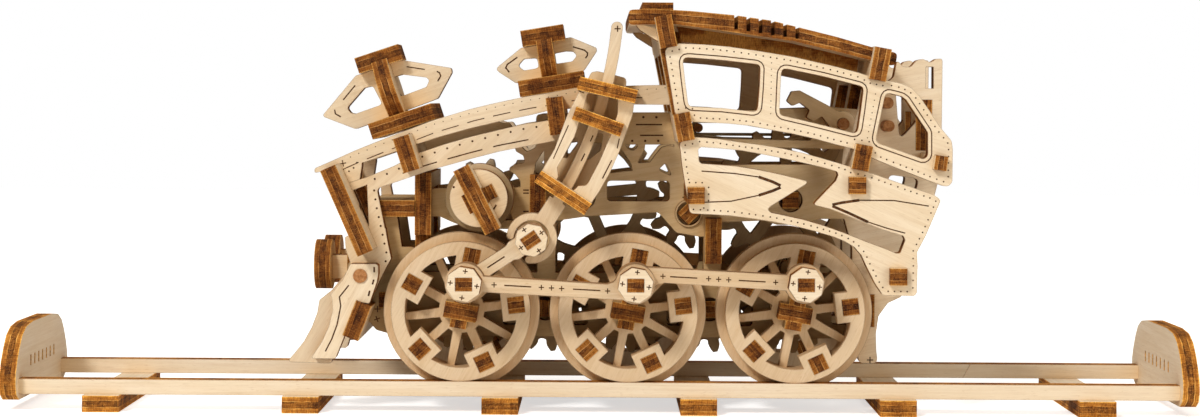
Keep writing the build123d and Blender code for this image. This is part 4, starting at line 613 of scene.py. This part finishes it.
class Groove:
    """Thin closed dark strips, let into a face."""

    def __init__(self):
        self.v, self.f = [], []

    def prism(self, ring, d, side, flip=False):
        n, base = len(ring), len(self.v)
        for y in ((d + 0.02) * side, (d - 0.18) * side):
            self.v += [(x * MM, y * MM, z * MM) for x, z in ring]
        area = sum(ring[i][0] * ring[(i + 1) % n][1] - ring[(i + 1) % n][0] * ring[i][1] for i in range(n))
        order = list(range(n)) if (area > 0) == (side < 0) else list(range(n))[::-1]
        self.f.append([base + i for i in order])
        self.f.append([base + n + i for i in order[::-1]])
        for i in range(n):
            a, b = order[i], order[(i + 1) % n]
            self.f.append([base + b, base + a, base + n + a, base + n + b])

    def line(self, pts, w, d, side):
        pts = [p for i, p in enumerate(pts) if i == 0 or math.hypot(p[0] - pts[i - 1][0], p[1] - pts[i - 1][1]) > 0.02]
        if len(pts) < 2:
            return
        left, right = [], []
        for i, p in enumerate(pts):
            a, b = pts[max(i - 1, 0)], pts[min(i + 1, len(pts) - 1)]
            if 0 < i < len(pts) - 1:
                u = Vector((p[0] - a[0], p[1] - a[1])).normalized()
                v = Vector((b[0] - p[0], b[1] - p[1])).normalized()
                t = (u + v).normalized() if (u + v).length > 0.2 else u
                k = w / 2 / max(t.dot(u), 0.5)
            else:
                t = Vector((b[0] - a[0], b[1] - a[1])).normalized()
                k = w / 2
            left.append((p[0] - t.y * k, p[1] + t.x * k))
            right.append((p[0] + t.y * k, p[1] - t.x * k))
        # one closed strip in pieces would cross itself on long curves, so the ring is one outline
        n, base = len(pts), len(self.v)
        for y in ((d + 0.02) * side, (d - 0.18) * side):
            self.v += [(x * MM, y * MM, z * MM) for x, z in left + right]
        top, low = base, base + 2 * n

        def quad(a, b, c, e):
            self.f.append([a, b, c, e] if side < 0 else [e, c, b, a])

        for i in range(n - 1):
            quad(top + i, top + n + i, top + n + i + 1, top + i + 1)
            quad(low + i + 1, low + n + i + 1, low + n + i, low + i)
            quad(top + i + 1, low + i + 1, low + i, top + i)
            quad(top + n + i, low + n + i, low + n + i + 1, top + n + i + 1)
        quad(top + n, top, low, low + n)
        quad(top + n - 1, top + 2 * n - 1, low + 2 * n - 1, low + n - 1)

    def plus(self, p, size, w, turn, d, side):
        c, s = math.cos(math.radians(turn)), math.sin(math.radians(turn))
        a, b = size / 2, w / 2
        ring = [(-a, -b), (-b, -b), (-b, -a), (b, -a), (b, -b), (a, -b), (a, b), (b, b), (b, a), (-b, a), (-b, b), (-a, b)]
        self.prism([(p[0] + u * c - v * s, p[1] + u * s + v * c) for u, v in ring], d, side)

    def dot(self, p, r, d, side):
        self.prism([(p[0] + r * math.cos(k * math.pi / 3), p[1] + r * math.sin(k * math.pi / 3)) for k in range(6)], d, side)

    def piece(self, name, body):
        if not self.v:
            return
        mesh = bpy.data.meshes.new(name)
        mesh.from_pydata(self.v, [], self.f)
        mesh.update()
        mesh.materials.append(ENGRAVED)
        o = bpy.data.objects.new(name, mesh)
        bpy.context.scene.collection.objects.link(o)
        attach(o, body)


def face_loops(node, y_mm):
    """Outlines of a node's flat face that lies at one Y, as (X, Z) in millimetres, run anticlockwise seen from the near side, widest first."""
    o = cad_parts[node]
    mesh = o.data
    pos = [o.matrix_world @ v.co for v in mesh.vertices]
    key = lambda i: (round(pos[i].x * 1e5), round(pos[i].z * 1e5))
    once = {}
    for p in mesh.polygons:
        vs = list(p.vertices)
        if all(abs(pos[i].y * 1000 - y_mm) < 0.01 for i in vs):
            for a, b in zip(vs, vs[1:] + vs[:1]):
                a, b = key(a), key(b)
                if (b, a) in once:
                    del once[(b, a)]
                else:
                    once[(a, b)] = True
    nxt = {a: b for a, b in once}
    loops = []
    while nxt:
        a, b = next(iter(nxt.items()))
        ring = [a]
        del nxt[a]
        while b != a and b in nxt:
            ring.append(b)
            b = nxt.pop(b)
        loops.append([(x / 100.0, z / 100.0) for x, z in ring])
    loops = [r for r in loops if len(r) > 2]

    def size(r):
        return sum(r[i][0] * r[(i + 1) % len(r)][1] - r[(i + 1) % len(r)][0] * r[i][1] for i in range(len(r))) / 2

    loops = [r if size(r) > 0 else r[::-1] for r in loops]
    return sorted(loops, key=lambda r: -size(r))


def beside(ring, off, inside):
    """A run beside a closed outline, kept at least the offset away from all of it."""
    closed = ring + ring[:1]
    fine = walk(closed, 0.25)
    a = np.array(fine)
    segs = np.array(list(zip(closed, closed[1:])))
    d = np.roll(a, -1, 0) - np.roll(a, 1, 0)
    d /= np.maximum(np.linalg.norm(d, axis=1), 1e-9)[:, None]
    n = np.stack([-d[:, 1], d[:, 0]], 1) * (1 if inside else -1)
    q = a + n * off
    p0, p1 = segs[:, 0], segs[:, 1]
    e = p1 - p0
    l2 = np.maximum((e ** 2).sum(1), 1e-9)
    keep = []
    for p in q:
        t = np.clip(((p - p0) * e).sum(1) / l2, 0, 1)
        if np.sqrt((((p0 + e * t[:, None]) - p) ** 2).sum(1)).min() > off * 0.94:
            keep.append((float(p[0]), float(p[1])))
    return keep


PAIRED = {"front_rod": "front_rod_{}", "rear_rod": "rear_rod_{}", "link": "link_{}", "piston": "piston_{}"}
grooves = {}


def groove(body):
    return grooves.setdefault(body, Groove())


for group, items in MARKS.items():
    for d, kind, sides, pts, *size in items:
        for side, word in ((-1, "near"), (1, "far")):
            if side > 0 and sides == "n":
                continue
            g = groove(PAIRED[group].format(word) if group in PAIRED else group)
            if kind == "line":
                g.line(pts, size[0] * 0.85, d, side)
            elif kind == "plus":
                g.plus(pts[0], size[0] * 0.92, size[1] * 0.75, size[2], d, side)
            elif kind == "dots":
                for p in walk(pts, size[0], 0.0 if len(pts) == 2 and size[0] > 4.5 else size[0] * 0.5):
                    g.dot(p, size[1] * (0.8 if size[1] >= 0.3 else 0.55), d, side)
            elif kind == "dash":
                total = sum(math.hypot(b[0] - a[0], b[1] - a[1]) for a, b in zip(pts, pts[1:]))
                at = 0.3
                while at + size[0] < total:
                    g.line(part_of(pts, at, at + size[0]), size[2] * 0.85, d, side)
                    at += size[0] + size[1]

for side, word in ((-1, "near"), (1, "far")):
    g = groove("locomotive")
    for node, off, pitch in ((f"cab_side_upper_{word}", 1.0, 1.5), (f"cab_side_lower_{word}", 1.0, 1.5)):
        rings = face_loops(node, 37.5 * side)
        if rings:
            row = beside(rings[0], off, True)
            at = [row[0]]
            for p in row[1:]:
                if math.hypot(p[0] - at[-1][0], p[1] - at[-1][1]) >= pitch:
                    at.append(p)
            for p in at[:-1]:
                g.dot(p, 0.21, 37.5, side)
        if "upper" in node:
            for ring in rings[1:4]:
                run = beside(ring, 0.9, False)
                if len(run) > 4:
                    g.line(run[::2] + run[:1], 0.27, 37.5, side)

for body, g in grooves.items():
    g.piece("engraving_" + body, body)


# ------------------------------------------------------------------ stage and light
me = bpy.data.meshes.new("floor")
me.from_pydata([(-1.6, -1.4, 0), (1.6, -1.4, 0), (1.6, 1.3, 0), (-1.6, 1.3, 0)], [], [(0, 1, 2, 3)])
floor = bpy.data.objects.new("floor", me)
bpy.context.scene.collection.objects.link(floor)
fl = Net("pale_floor")
fl_n = fl.noise(fl.vmul(fl.nt.nodes.new("ShaderNodeTexCoord").outputs["Object"], (40.0, 40.0, 40.0)), 1.0, 2.0, 0.5)
fl.finish(fl.ramp(fl_n, [(0.3, (0.93, 0.93, 0.93)), (0.7, (0.95, 0.95, 0.95))]), 0.9, 0.1)
fl.put(fl.bsdf.inputs["Emission Color"], (1.0, 1.0, 1.0, 1.0))
fl.put(fl.bsdf.inputs["Emission Strength"], fl.maprange(fl.nt.nodes.new("ShaderNodeLightPath").outputs["Is Camera Ray"], 0.0, 1.0, 0.05, 0.60))
me.materials.append(fl.mat)

world = bpy.data.worlds.new("studio")
bpy.context.scene.world = world
world.use_nodes = True
wn = world.node_tree
sky = wn.nodes["Background"]
tint = wn.nodes.new("ShaderNodeMix")
tint.data_type = "RGBA"
tint.inputs[6].default_value = (1.0, 0.87, 0.68, 1.0)
tint.inputs[7].default_value = (1.0, 1.0, 1.0, 1.0)
wn.links.new(tint.outputs[2], sky.inputs[0])
seen = wn.nodes.new("ShaderNodeLightPath").outputs["Is Camera Ray"]
level = wn.nodes.new("ShaderNodeMapRange")
level.inputs[3].default_value = 0.30
level.inputs[4].default_value = 1.0
wn.links.new(seen, level.inputs[0])
wn.links.new(seen, tint.inputs[0])
wn.links.new(level.outputs[0], sky.inputs[1])


def area_light(name, loc, target, size, power, color=(1, 1, 1)):
    d = bpy.data.lights.new(name, "AREA")
    d.shape = "RECTANGLE"
    d.size, d.size_y = size
    d.energy = power
    d.color = color
    o = bpy.data.objects.new(name, d)
    bpy.context.scene.collection.objects.link(o)
    o.location = loc
    o.rotation_euler = (Vector(target) - Vector(loc)).to_track_quat("-Z", "Y").to_euler()
    return o


area_light("key_light", (-0.80, -1.36, 1.25), (0.0, 0.0, 0.05), (0.36, 0.36), 23.5, (1.0, 0.985, 0.95))
area_light("fill_light", (0.80, -0.75, 0.30), (0.0, 0.0, 0.05), (0.5, 0.5), 2.3, (1.0, 0.97, 0.90))
area_light("top_light", (0.0, 0.15, 1.7), (0.0, 0.0, 0.0), (2.4, 2.4), 10.5)
